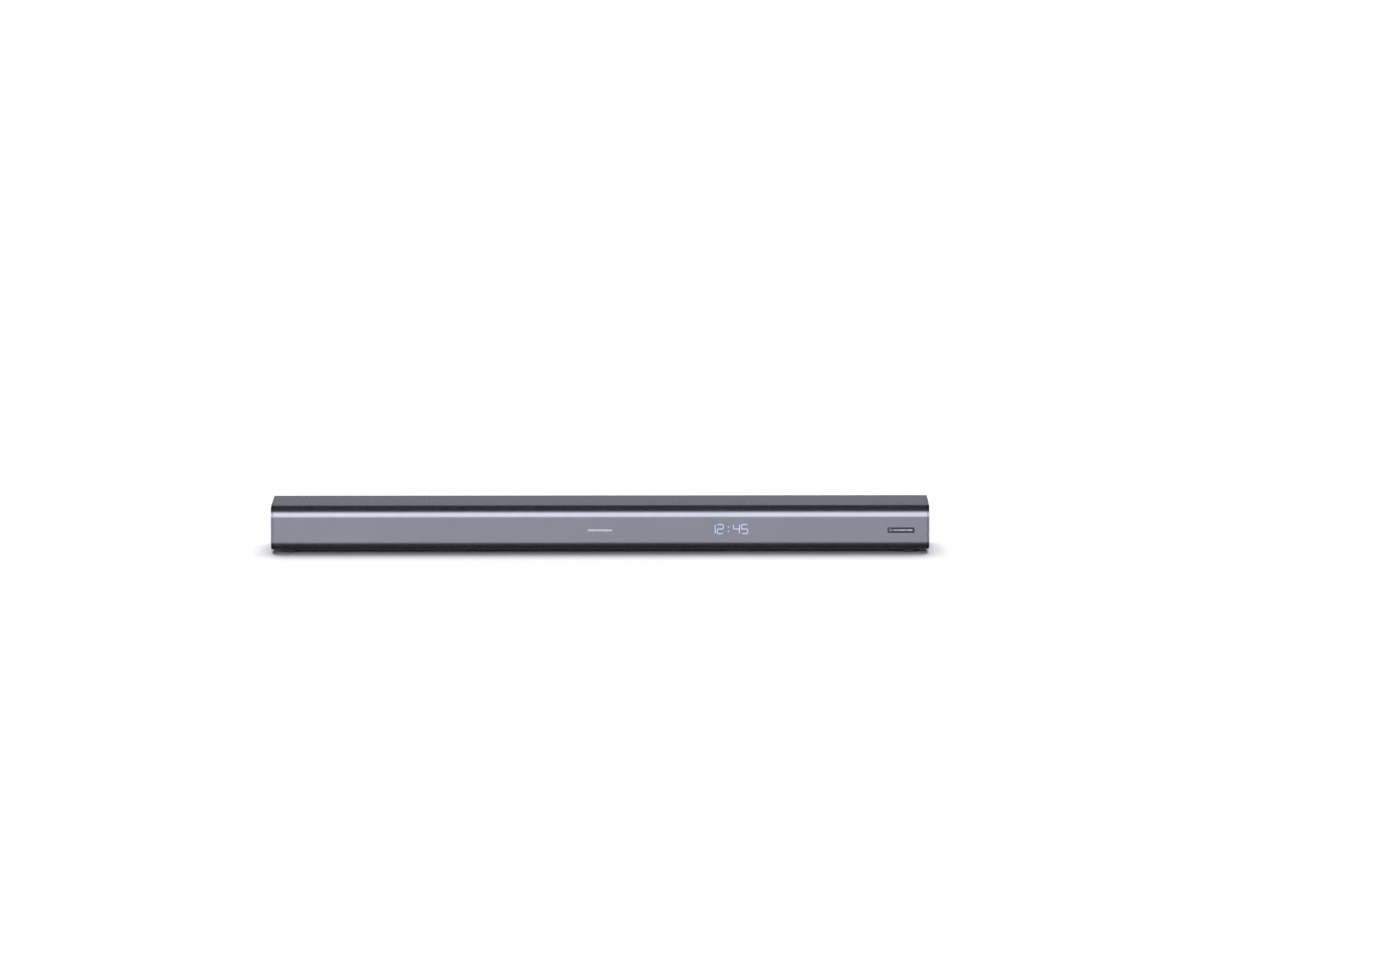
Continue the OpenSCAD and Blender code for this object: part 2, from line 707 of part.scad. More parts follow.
module key_switches() color([0.7, 0.71, 0.73]) for (y = key_ys) difference() {
    translate([key_board_x, y - 3, key_z - 3]) cube([switch_h, 6, 6]);
    translate([key_board_x + switch_h - plunger_in - key_travel - 0.3, y, key_z])
        to_right() cylinder(r = plunger_r + 0.1, h = 5);
}

// ---------- boards ----------

module main_board() color([0.07, 0.3, 0.16]) difference() {
    slab(io_x, board_rear_y - main_d, board_z, [main_w, main_d, board_t]);
    board_places(io_x, main_w, main_d) translate([0, 0, board_z - cut]) small_pilot(board_t + 2 * cut);
}

module heatsink() color([0.6, 0.61, 0.62]) {
    size = [40, 30, 26];
    fins = 8;
    fin_t = 1.4;
    x = io_x - 100;
    y = board_rear_y - 4 - size[1];
    slab(x, y, board_top, [size[0], size[1], 4]);
    for (i = [0 : fins - 1])
        slab(x + (size[0] - fin_t) * (i / (fins - 1) - 0.5), y, board_top + 3.5,
             [fin_t, size[1], size[2] - 3.5]);
}

// Radio daughter board with its shield can and antenna tab, on the main board
module wireless_module() color([0.75, 0.76, 0.78]) {
    x = io_x + 108;
    y = board_rear_y - 36;
    slab(x, y, board_top, [16, 30, 1.2]);
    slab(x, y + 2, board_top + 1, [14, 18, 2.6]);
    slab(x, y + 22, board_top + 1, [10, 6, 0.6]);
}

module power_board() color([0.1, 0.32, 0.2]) difference() {
    slab(power_x, board_rear_y - power_d, board_z, [power_w, power_d, board_t]);
    board_places(power_x, power_w, power_d) translate([0, 0, board_z - cut]) small_pilot(board_t + 2 * cut);
}

module transformer() color([0.28, 0.2, 0.12]) {
    x = power_x - 45;
    y = board_rear_y - 34;
    slab(x, y, board_top, [30, 26, 3]);
    slab(x, y + 3, board_top + 2.5, [22, 20, 19]);
    slab(x, y + 8, board_top + 2.5, [32, 10, 22]);
}

module capacitors() color([0.12, 0.12, 0.2]) {
    y = board_rear_y - 20;
    for (c = [[power_x + 24, 9, 28], [power_x + 45, 8, 25], [power_x + 62, 6, 20]])
        translate([c[0], y, board_top]) cylinder(r = c[1], h = c[2]);
}

module display_board() color([0.07, 0.3, 0.16]) difference() {
    slab(display_board_x, display_board_y, display_z - display_board_size[2] / 2, display_board_size);
    for (x = display_post_xs)
        translate([x, display_board_y - cut, display_z]) to_rear() small_pilot(board_t + 2 * cut);
}

module display_module() color([0.1, 0.1, 0.12]) {
    slab(display_x, module_front_y, display_z - display_h / 2, [display_w, module_d, display_h]);
}

module ir_receiver() color([0.06, 0.04, 0.05]) {
    slab(ir_x, display_board_y - 4, display_z - 3.4, [6, 4, 6.8]);
    translate([ir_x, display_board_y - 6, display_z]) to_rear() cylinder(r = 2.6, h = 3);
}

// ---------- sockets ----------

module data_sockets() color([0.72, 0.73, 0.74]) {
    for (x = hdmi_xs) hdmi_socket(x);
    usb_socket();
}

module hdmi_socket(x) {
    depth = 9;
    translate([x, mouth_y - hdmi[1], board_top]) {
        difference() {
            translate([-hdmi[0] / 2, 0, 0]) cube(hdmi);
            translate([0, hdmi[1] + cut, 0]) rotate([90, 0, 0]) linear_extrude(depth + cut) polygon([
                [-4.6, shell_t], [4.6, shell_t], [7, shell_t + 1.6], [7, hdmi[2] - shell_t],
                [-7, hdmi[2] - shell_t], [-7, shell_t + 1.6]]);
        }
        translate([-5.8, hdmi[1] - depth - 0.5, hdmi[2] / 2 - 0.1]) cube([11.6, 7.5, 1]);
    }
}

module usb_socket() translate([usb_x, mouth_y - usb[1], board_top]) {
    depth = 12;
    difference() {
        translate([-usb[0] / 2, 0, 0]) cube(usb);
        translate([-6.25, usb[1] - depth, 0.34]) cube([12.5, depth + cut, 5.12]);
    }
    translate([-5.5, usb[1] - depth - 0.5, 3.2]) cube([11, 9.5, 1.8]);
}

module optical_socket() color([0.08, 0.08, 0.09]) difference() {
    slab(optical_x, mouth_y - optical[1], board_top, optical);
    slab(optical_x, mouth_y - optical_depth, board_top + (optical[2] - optical_mouth[1]) / 2,
         [optical_mouth[0], optical_depth + cut, optical_mouth[1]]);
    translate([optical_x - optical[0], shutter_y, shutter_z])
        to_right() cylinder(r = shutter_pin_r + pin_gap, h = 2 * optical[0]);
}

// A flap that a plug pushes inwards, on two pins at its top edge
module optical_shutter() color([0.14, 0.14, 0.15]) {
    w = optical_mouth[0] - 0.4;
    drop = optical_mouth[1] - 1.2;
    slab(optical_x, shutter_y - shutter_t / 2, shutter_z - drop, [w, shutter_t, drop]);
    translate([optical_x - w / 2, shutter_y, shutter_z]) to_right() cylinder(r = shutter_t / 2, h = w);
    translate([optical_x - w / 2 - 0.6, shutter_y, shutter_z])
        to_right() cylinder(r = shutter_pin_r, h = w + 1.2);
}

module aux_socket() color([0.1, 0.1, 0.11]) difference() {
    union() {
        slab(aux_x, bay_y - bay_t - seam - aux[1], board_top, aux);
        translate([aux_x, bay_y - bay_t - seam - 1, jack_z]) to_rear()
            cylinder(r = barrel_r, h = mouth_y - bay_y + bay_t + seam + 1);
    }
    translate([aux_x, mouth_y - jack_len, jack_z]) to_rear() cylinder(r = jack_r, h = jack_len + cut);
}

// Two-pin mains inlet with a stadium-shaped well
module ac_inlet() color([0.06, 0.06, 0.06]) {
    well_r = 4.3;
    difference() {
        slab(mains_x, mouth_y - inlet[1], board_top, inlet);
        slab(mains_x, mouth_y - inlet_depth, inlet_z - well_r,
             [pin_pitch, inlet_depth + cut, 2 * well_r]);
        for (s = [-1, 1])
            translate([mains_x + s * pin_pitch / 2, mouth_y - inlet_depth, inlet_z])
                to_rear() cylinder(r = well_r, h = inlet_depth + cut);
    }
    for (s = [-1, 1])
        translate([mains_x + s * pin_pitch / 2, mouth_y - inlet_depth - 0.5, inlet_z])
            to_rear() cylinder(r = pin_r, h = 10.5);
}

// ---------- fasteners ----------

module wall_inserts() color([0.75, 0.6, 0.3]) for (s = [-1, 1])
    translate([s * insert_spacing / 2, rear_y - insert_len, insert_z]) to_rear() difference() {
        cylinder(r = insert_r, h = insert_len);
        translate([0, 0, -cut]) cylinder(r = insert_bore_r, h = insert_len + 2 * cut);
    }

module screws() color([0.2, 0.2, 0.21]) {
    for (x = case_screw_xs) {
        translate([x, case_screw_y, base_z + screw_head_h + 0.1]) case_screw(6);
        translate([x, cover_screw_y(), baffle_top - shelf_t]) case_screw(shelf_t + cover_screw_bite());
    }
    for (s = [-1, 1], y = cap_screw_ys)
        translate([s * cap_screw_x, y, base_z + screw_head_h + 0.1]) case_screw(7);
    for (i = [0 : 5])
        at_driver(i) driver_screw_places()
            translate([0, 0, -flange_t]) small_screw(flange_t + baffle_t + 0.5);
    every_board_place() translate([0, 0, board_top]) mirror([0, 0, 1]) small_screw(board_t + 4);
    for (y = key_post_ys)
        translate([key_board_x - board_t, y, key_z]) to_right() small_screw(board_t + 5);
    for (x = display_post_xs)
        translate([x, display_board_y + board_t, display_z]) rotate([90, 0, 0]) small_screw(board_t + 2);
}

// ---------- wiring ----------

// Sweep a round tube along points, one ring a point
function unit(v) = v / norm(v);
function heading(pts, i) = unit(pts[min(i + 1, len(pts) - 1)] - pts[max(i - 1, 0)]);
function side_of(t) = unit(cross(abs(t[2]) > 0.9 ? [1, 0, 0] : [0, 0, 1], t));

module tube(pts, r, sides = 8) {
    n = len(pts);
    rings = [for (i = [0 : n - 1], k = [0 : sides - 1])
        let (t = heading(pts, i), u = side_of(t), v = cross(t, u), a = 360 * k / sides)
        pts[i] + r * cos(a) * u + r * sin(a) * v];
    walls = [for (i = [0 : n - 2], k = [0 : sides - 1])
        let (a = i * sides + k, b = i * sides + (k + 1) % sides)
        [a, b, b + sides, a + sides]];
    polyhedron(points = rings, faces = concat(
        [reverse([for (k = [0 : sides - 1]) k])], walls,
        [[for (k = [0 : sides - 1]) (n - 1) * sides + k]]));
}

// Round every corner of a route by up to d each side
function corner_points(a, b, c, d) =
    let (m = min(d, norm(b - a) / 2, norm(c - b) / 2), p = b + m * unit(a - b), q = b + m * unit(c - b))
    [for (t = [0 : 0.2 : 1]) (1 - t) * (1 - t) * p + 2 * t * (1 - t) * b + t * t * q];
function rounded_route(pts, d) = concat(
    [pts[0]],
    [for (i = [1 : len(pts) - 2]) each corner_points(pts[i - 1], pts[i], pts[i + 1], d)],
    [pts[len(pts) - 1]]);

// Each driver's lead runs from the main board's front edge along its own lane of the floor
module wire_harness() color([0.5, 0.1, 0.1]) {
    wire_r = 0.8;
    run_z = floor_z + 1.8;
    board_edge_y = board_rear_y - main_d;
    home_z = board_z + board_t / 2;
    tab_r = bowl_at(spider_h) + 4;
    tab_y = baffle_y + spider_h + 1.5;
    for (i = [0 : 5]) {
        lane_y = shelf_rear_y + 2 + 3 * (abs(i - 2.5) - 0.5);
        home_x = io_x + (i < 3 ? -60 : 60) + 6 * i;
        drop_x = driver_xs[i] + tab_r + 5;
        route = [
            [home_x, board_edge_y, home_z],
            [home_x, lane_y, home_z],
            [home_x, lane_y, run_z],
            [drop_x, lane_y, run_z],
            [drop_x, lane_y, run_z + 10],
            [drop_x, tab_y, driver_z],
            [driver_xs[i] + tab_r, tab_y, driver_z]];
        tube(rounded_route(route, 4), wire_r);
    }
}

// ---------- parts ----------

rear_housing();
top_cover();
front_grille();
grille_cloth();
front_baffle();
end_cap_left();
end_cap_right();
front_badges();
foot(-1, 0);  // foot_front_left
foot(1, 0);  // foot_front_right
foot(-1, 1);  // foot_rear_left
foot(1, 1);  // foot_rear_right
for (i = [0 : len(DRIVERS) - 1]) {
    driver_basket(i);
    driver_suspension(i);
    driver_cone(i);
}
driver_magnets();
driver_pole_plates();
for (i = [0 : len(KEYS) - 1]) {
    key_button(i);
    switch_plunger(i);
}
key_board();
key_switches();
main_board();
heatsink();
wireless_module();
power_board();
transformer();
capacitors();
display_board();
display_module();
ir_receiver();
bay_liners();
data_sockets();
optical_socket();
optical_shutter();
aux_socket();
ac_inlet();
wall_inserts();
screws();
wire_harness();
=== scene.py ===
"""A slim television soundbar, dressed round its CAD frame.

X runs along the bar, the front faces -Y and Z is up. Sizes are in metres.
"""

import json
import logging
import math
from collections.abc import Callable, Iterable, Sequence
from dataclasses import dataclass
from enum import Enum

import bpy
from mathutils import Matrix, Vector


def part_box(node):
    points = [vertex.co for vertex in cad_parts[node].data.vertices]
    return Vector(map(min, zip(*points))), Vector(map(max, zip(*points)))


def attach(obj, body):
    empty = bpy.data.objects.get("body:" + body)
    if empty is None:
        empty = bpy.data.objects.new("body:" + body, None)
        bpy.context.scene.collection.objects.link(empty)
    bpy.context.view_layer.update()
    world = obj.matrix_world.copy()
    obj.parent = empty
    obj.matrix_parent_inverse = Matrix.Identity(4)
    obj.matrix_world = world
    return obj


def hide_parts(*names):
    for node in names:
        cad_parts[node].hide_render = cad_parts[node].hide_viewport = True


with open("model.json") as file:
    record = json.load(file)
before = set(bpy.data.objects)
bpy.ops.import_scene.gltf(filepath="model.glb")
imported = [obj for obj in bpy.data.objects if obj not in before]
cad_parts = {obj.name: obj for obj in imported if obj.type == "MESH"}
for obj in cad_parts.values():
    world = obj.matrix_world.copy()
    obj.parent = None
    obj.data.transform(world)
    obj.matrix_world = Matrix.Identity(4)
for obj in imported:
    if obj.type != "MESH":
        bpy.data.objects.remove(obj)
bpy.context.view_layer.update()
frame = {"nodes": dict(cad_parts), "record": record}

MM = 0.001              # one millimetre, in metres
HAIR = 0.01 * MM        # how near a plane a corner lies to count as on it
DOUBLES = 1e-6          # corners nearer than this, in metres, are one
FACING = 0.9            # how much of a normal points along an axis for its face to count as facing that way
CABINET = "cabinet"
Point = Sequence[float]
Piece = bpy.types.Object
Wanted = Callable[[Vector, Vector], bool]
Colour = tuple[float, float, float]
log = logging.getLogger("soundbar")


class Axis(Enum):
    """A direction of the shared frame, with the turn that points a Z-long primitive along it."""

    X = (0.0, math.pi / 2, 0.0)
    Y = (-math.pi / 2, 0.0, 0.0)
    Z = (0.0, 0.0, 0.0)


# ---------------------------------------------------------------- shader sheets


def _operator(operation: str, swapped: bool = False) -> Callable[["Wire", "Value"], "Wire"]:
    """Make a method that adds one Math node.

    Args:
        operation: The node's operation.
        swapped: Whether the other value comes first.

    Returns:
        The method.
    """
    def method(self: "Wire", other: "Value") -> "Wire":
        """Add the node and wrap its output."""
        first, second = (other, self) if swapped else (self, other)
        return self.sheet.math(operation, first, second)

    return method


class Wire:
    """One output socket of a material, whose operators add Math nodes."""

    def __init__(self, sheet: "Sheet", socket: bpy.types.NodeSocket) -> None:
        """Keep the sheet that owns the socket."""
        self.sheet = sheet
        self.socket = socket

    __add__ = __radd__ = _operator("ADD")
    __mul__ = __rmul__ = _operator("MULTIPLY")
    __sub__ = _operator("SUBTRACT")
    __rsub__ = _operator("SUBTRACT", True)
    __truediv__ = _operator("DIVIDE")
    __mod__ = _operator("FLOORED_MODULO")
    least = _operator("MINIMUM")

    def root(self) -> "Wire":
        """Square root."""
        return self.sheet.math("SQRT", self)

    def ramp(self, low: float, high: float, start: float = 0.0, end: float = 1.0) -> "Wire":
        """Ease from start at low to end at high."""
        node = self.sheet.add(
            "ShaderNodeMapRange", {"interpolation_type": "SMOOTHSTEP"},
            {"Value": self, "From Min": low, "From Max": high, "To Min": start, "To Max": end})
        return Wire(self.sheet, node.outputs["Result"])


Value = Wire | float | int


class Sheet:
    """A material's node tree, with one method that adds any node."""

    def __init__(self, name: str, world: bpy.types.World | None = None) -> None:
        """Start the empty tree of a world, or of a new material of that name."""
        self.material = world or bpy.data.materials.new(name)
        self.material.use_nodes = True
        self.tree = self.material.node_tree
        self.tree.nodes.clear()

    def add(self, kind: str, settings: dict | None = None, sockets: dict | None = None) -> bpy.types.Node:
        """Add a node, set it up, then fill or link its sockets.

        Args:
            kind: The node's type.
            settings: Its own settings; "stops" holds a colour ramp's places and colours.
            sockets: Values or wires, by the socket's name or number.

        Returns:
            The node.
        """
        node = self.tree.nodes.new(kind)
        for key, value in (settings or {}).items():
            if key == "stops":
                self._fill_ramp(node.color_ramp, value)
            else:
                setattr(node, key, value)
        for key, value in (sockets or {}).items():
            self.plug(value, node.inputs[key])
        return node

    @staticmethod
    def _fill_ramp(ramp: bpy.types.ColorRamp, stops: Sequence[tuple[float, Colour]]) -> None:
        """Give a colour ramp its places and colours."""
        while len(ramp.elements) < len(stops):
            ramp.elements.new(1.0)
        for element, (place, colour) in zip(ramp.elements, stops):
            element.position = place
            element.color = (*colour, 1.0)

    def plug(self, value: object, socket: bpy.types.NodeSocket) -> None:
        """Link a wire or a socket, or set a constant."""
        if isinstance(value, Wire):
            self.tree.links.new(value.socket, socket)
        elif isinstance(value, bpy.types.NodeSocket):
            self.tree.links.new(value, socket)
        elif isinstance(value, tuple) and socket.type == "RGBA":
            socket.default_value = (*value, 1.0)
        else:
            socket.default_value = value

    def math(self, operation: str, *values: Value) -> Wire:
        """Add a Math node over one or two values."""
        node = self.add("ShaderNodeMath", {"operation": operation}, dict(enumerate(values)))
        return Wire(self, node.outputs[0])

    def place(self) -> bpy.types.NodeSocket:
        """The point on the piece, in metres."""
        return self.add("ShaderNodeTexCoord").outputs["Object"]

    def parts(self, vector: bpy.types.NodeSocket) -> tuple[Wire, Wire, Wire]:
        """The three numbers of a vector."""
        node = self.add("ShaderNodeSeparateXYZ", None, {0: vector})
        return Wire(self, node.outputs[0]), Wire(self, node.outputs[1]), Wire(self, node.outputs[2])

    def vector(self, x: Value, y: Value, z: Value = 0.0) -> bpy.types.NodeSocket:
        """A vector of three numbers."""
        return self.add("ShaderNodeCombineXYZ", None, {0: x, 1: y, 2: z}).outputs[0]

    def noise(self, where: bpy.types.NodeSocket, scale: float, detail: float = 3.0,
              rough: float = 0.5) -> Wire:
        """Soft noise from nought to one; scale is in waves a metre."""
        node = self.add("ShaderNodeTexNoise", None,
                        {"Vector": where, "Scale": scale, "Detail": detail, "Roughness": rough})
        return Wire(self, node.outputs["Fac"])

    def blend(self, share: Value, first: object, second: object) -> bpy.types.NodeSocket:
        """A colour between two, by share."""
        node = self.add("ShaderNodeMix", {"data_type": "RGBA"}, {0: share, 6: first, 7: second})
        return node.outputs[2]

    def bump(self, height: Wire, depth: float, strength: float = 1.0) -> bpy.types.NodeSocket:
        """A normal raised by height times depth."""
        node = self.add("ShaderNodeBump", None, {"Height": height, "Distance": depth, "Strength": strength})
        return node.outputs["Normal"]

    def finish(self, **sockets: object) -> bpy.types.Material:
        """Close the tree with one Principled shader.

        Args:
            sockets: Its sockets' values, with an underscore for each space.

        Returns:
            The material.
        """
        named = {key.replace("_", " "): value for key, value in sockets.items()}
        shader = self.add("ShaderNodeBsdfPrincipled", None, named)
        self.add("ShaderNodeOutputMaterial", None, {"Surface": shader.outputs[0]})
        return self.material


# ---------------------------------------------------------------- finishes

SHEET_UV = "sheet"


@dataclass(frozen=True)
class SatinMetal:
    """Gunmetal sheet with a fine grain that runs across the bar.

    Attributes:
        name: The material's name.
        colour: The colour of the metal.
        rough: How broad its highlight is.
        hole_pitch: Distance between perforations, or nought for plain sheet.
        hole_radius: Radius of a perforation.
        glow: Light that comes through the perforations from a display behind.
    """

    name: str
    colour: Colour = (0.42, 0.43, 0.485)
    rough: float = 0.27
    hole_pitch: float = 0.0
    hole_radius: float = 0.0
    glow: float = 0.0

    def make(self) -> bpy.types.Material:
        """Make the material."""
        sheet = Sheet(self.name)
        along, height, _ = sheet.parts(sheet.add("ShaderNodeUVMap", {"uv_map": SHEET_UV}).outputs[0])
        streak = sheet.noise(sheet.vector(along, height * 0.02), 900.0, 2.0)
        drift = sheet.noise(sheet.vector(along, height * 0.4), 7.0, 1.0)
        shade = (streak - 0.5) * 0.07 + (drift - 0.5) * 0.06 + 1.0
        colour = sheet.blend(shade.ramp(0.8, 1.2), tuple(c * 0.8 for c in self.colour),
                             tuple(c * 1.2 for c in self.colour))
        rough = streak * 0.02 + (self.rough - 0.01)
        lift = streak * 0.1
        sockets: dict[str, object] = {"Metallic": 1.0}
        if self.hole_pitch:
            hole = self._holes(sheet, along, height)
            # Inside a perforation the colour is near black: the dark cloth behind, darkened further by
            # painted shade of the hollow, with no metal.
            colour = sheet.blend(hole, colour, (0.004, 0.004, 0.005))
            rough = rough + hole * 0.5
            sockets["Metallic"] = 1.0 - hole
            lift = lift - hole * 0.4
            if self.glow:
                # The display's light is strongest in the perforations; a fifth of it is painted as a glow on
                # the metal between them.
                light = hole * 0.8 + 0.2
                sockets["Emission_Color"] = sheet.blend(light, (0.0, 0.0, 0.0), (0.52, 0.55, 0.90))
                sockets["Emission_Strength"] = self.glow
        return sheet.finish(Base_Color=colour, Roughness=rough,
                            Normal=sheet.bump(lift, 0.00004, 0.12), **sockets)

    def _holes(self, sheet: Sheet, along: Wire, height: Wire) -> Wire:
        """One inside a perforation and nought on the metal, on staggered rows."""
        rows = math.sqrt(3.0)
        nearest = None
        for shift in (0.0, 0.5):
            across = (along / self.hole_pitch + shift) % 1.0 - 0.5
            up = ((height / (self.hole_pitch * rows) + shift) % 1.0 - 0.5) * rows
            far = across * across + up * up
            nearest = far if nearest is None else nearest.least(far)
        radius = self.hole_radius / self.hole_pitch
        return nearest.root().ramp(radius * 1.12, radius * 0.88)


@dataclass(frozen=True)
class Moulded:
    """Moulded plastic or rubber with a fine spark-eroded grain and faint handling marks.

    Attributes:
        name: The material's name.
        colour: Its colour.
        rough: Its mean roughness.
        grain: Grains a metre.
        relief: Depth of the grain.
        metal: Share of metal flake in a painted finish.
        coat: Weight of the lacquer over it.
    """

    name: str
    colour: Colour
    rough: float = 0.55
    grain: float = 1400.0
    relief: float = 0.00006
    metal: float = 0.0
    coat: float = 0.0

    def make(self) -> bpy.types.Material:
        """Make the material."""
        sheet = Sheet(self.name)
        where = sheet.place()
        grain = sheet.noise(where, self.grain, 3.0, 0.6)
        cloud = sheet.noise(where, 24.0, 3.0)
        mark = sheet.noise(where, 240.0, 4.0, 0.7).ramp(0.58, 0.78)
        tone = (grain - 0.5) * 0.35 + (cloud - 0.5) * 0.45 + 0.5
        colour = sheet.blend(tone, tuple(c * 0.78 for c in self.colour), tuple(c * 1.22 for c in self.colour))
        rough = (cloud - 0.5) * 0.12 + mark * 0.06 + self.rough
        return sheet.finish(Base_Color=colour, Roughness=rough, Metallic=self.metal, Coat_Weight=self.coat,
                            Normal=sheet.bump(grain, self.relief, 0.5))


@dataclass(frozen=True)
class Plated:
    """Plated or machined metal, turned or drawn along one axis.

    Attributes:
        name: The material's name.
        colour: Its colour.
        rough: Its mean roughness.
        stretch: How the tool marks are drawn out along X, Y and Z.
        marks: Tool marks a metre.
    """

    name: str
    colour: Colour
    rough: float = 0.3
    stretch: Colour = (1.0, 1.0, 1.0)
    marks: float = 900.0

    def make(self) -> bpy.types.Material:
        """Make the material."""
        sheet = Sheet(self.name)
        mapping = sheet.add("ShaderNodeMapping", None, {"Vector": sheet.place(), "Scale": self.stretch})
        where = mapping.outputs[0]
        mark = sheet.noise(where, self.marks, 3.0, 0.6)
        dull = sheet.noise(sheet.place(), 90.0, 4.0, 0.6)
        tone = (mark - 0.5) * 0.5 + (dull - 0.5) * 0.5 + 0.5
        colour = sheet.blend(tone, tuple(c * 0.8 for c in self.colour),
                             tuple(min(c * 1.15, 1.0) for c in self.colour))
        return sheet.finish(Base_Color=colour, Metallic=1.0,
                            Roughness=(dull - 0.5) * 0.18 + mark * 0.08 + self.rough,
                            Normal=sheet.bump(mark, 0.00002, 0.35))


@dataclass(frozen=True)
class Weave:
    """Plain-woven acoustic cloth."""

    name: str
    colour: Colour
    pitch: float = 0.5 * MM

    def make(self) -> bpy.types.Material:
        """Make the material."""
        sheet = Sheet(self.name)
        x, _, z = sheet.parts(sheet.place())
        turn = 2.0 * math.pi / self.pitch
        warp, weft = sheet.math("SINE", x * turn), sheet.math("SINE", z * turn)
        over = (warp * weft) * 0.5 + 0.5
        fuzz = sheet.noise(sheet.place(), 2500.0, 2.0)
        # Lighter where a thread crosses over and darker where it dips under: painted shade of the weave's
        # relief, with random fuzz.
        colour = sheet.blend(over * 0.7 + fuzz * 0.3, tuple(c * 0.4 for c in self.colour),
                             tuple(c * 1.5 for c in self.colour))
        return sheet.finish(Base_Color=colour, Roughness=0.95 - over * 0.1, Sheen_Weight=0.2,
                            Normal=sheet.bump(over + fuzz * 0.4, 0.0002, 0.8))


@dataclass(frozen=True)
class CircuitBoard:
    """Solder mask over copper tracks, with bare pads."""

    name: str
    colour: Colour = (0.015, 0.11, 0.05)

    def make(self) -> bpy.types.Material:
        """Make the material."""
        sheet = Sheet(self.name)
        where = sheet.place()
        cells = sheet.add("ShaderNodeTexVoronoi", {"distance": "CHEBYCHEV", "feature": "F1"},
                          {"Vector": where, "Scale": 260.0, "Randomness": 0.55})
        far = Wire(sheet, cells.outputs["Distance"])
        track = (far % 0.24).ramp(0.09, 0.12) * (far % 0.24).ramp(0.17, 0.14)
        pad = far.ramp(0.14, 0.10)
        mask = sheet.blend(track, self.colour, tuple(c * 1.9 for c in self.colour))
        return sheet.finish(Base_Color=sheet.blend(pad, mask, (0.72, 0.70, 0.62)), Metallic=pad * 0.9,
                            Roughness=0.35 - pad * 0.08 + track * 0.05, Coat_Weight=0.3,
                            Normal=sheet.bump(track * 0.5 + pad, 0.00006, 0.6))


@dataclass(frozen=True)
class PressedPaper:
    """Coated pulp of a loudspeaker cone, with radial fibres."""

    name: str
    colour: Colour

    def make(self) -> bpy.types.Material:
        """Make the material."""
        sheet = Sheet(self.name)
        where = sheet.place()
        fibre = sheet.noise(where, 700.0, 5.0, 0.75)
        patch = sheet.noise(where, 120.0, 3.0)
        colour = sheet.blend(fibre * 0.6 + patch * 0.4, tuple(c * 0.6 for c in self.colour),
                             tuple(c * 1.5 for c in self.colour))
        return sheet.finish(Base_Color=colour, Roughness=0.75 + (fibre - 0.5) * 0.2,
                            Normal=sheet.bump(fibre, 0.00015, 0.7))


@dataclass(frozen=True)
class DarkLens:
    """Smoked lens in front of a light source, with a faint diffusing haze."""

    name: str
    colour: Colour
    glow: Colour = (0.0, 0.0, 0.0)
    strength: float = 0.0

    def make(self) -> bpy.types.Material:
        """Make the material."""
        sheet = Sheet(self.name)
        where = sheet.place()
        haze = sheet.noise(where, 300.0, 3.0)
        smear = sheet.noise(where, 40.0, 4.0, 0.6)
        colour = sheet.blend(haze, tuple(c * 0.7 for c in self.colour), tuple(c * 1.3 for c in self.colour))
        lit = sheet.blend(haze.ramp(0.3, 0.7), tuple(c * 0.85 for c in self.glow), self.glow)
        return sheet.finish(Base_Color=colour, Roughness=smear * 0.15 + 0.08, Coat_Weight=0.5,
                            Emission_Color=lit, Emission_Strength=self.strength)


@dataclass(frozen=True)
class PaleFloor:
    """Matt studio floor with the faintest unevenness."""

    name: str = "studio_floor"
    colour: Colour = (0.45, 0.45, 0.452)

    def make(self) -> bpy.types.Material:
        """Make the material."""
        sheet = Sheet(self.name)
        cloud = sheet.noise(sheet.place(), 0.6, 2.0)
        colour = sheet.blend(cloud, tuple(c * 0.995 for c in self.colour), self.colour)
        return sheet.finish(Base_Color=colour, Roughness=0.9, Specular_IOR_Level=0.1)


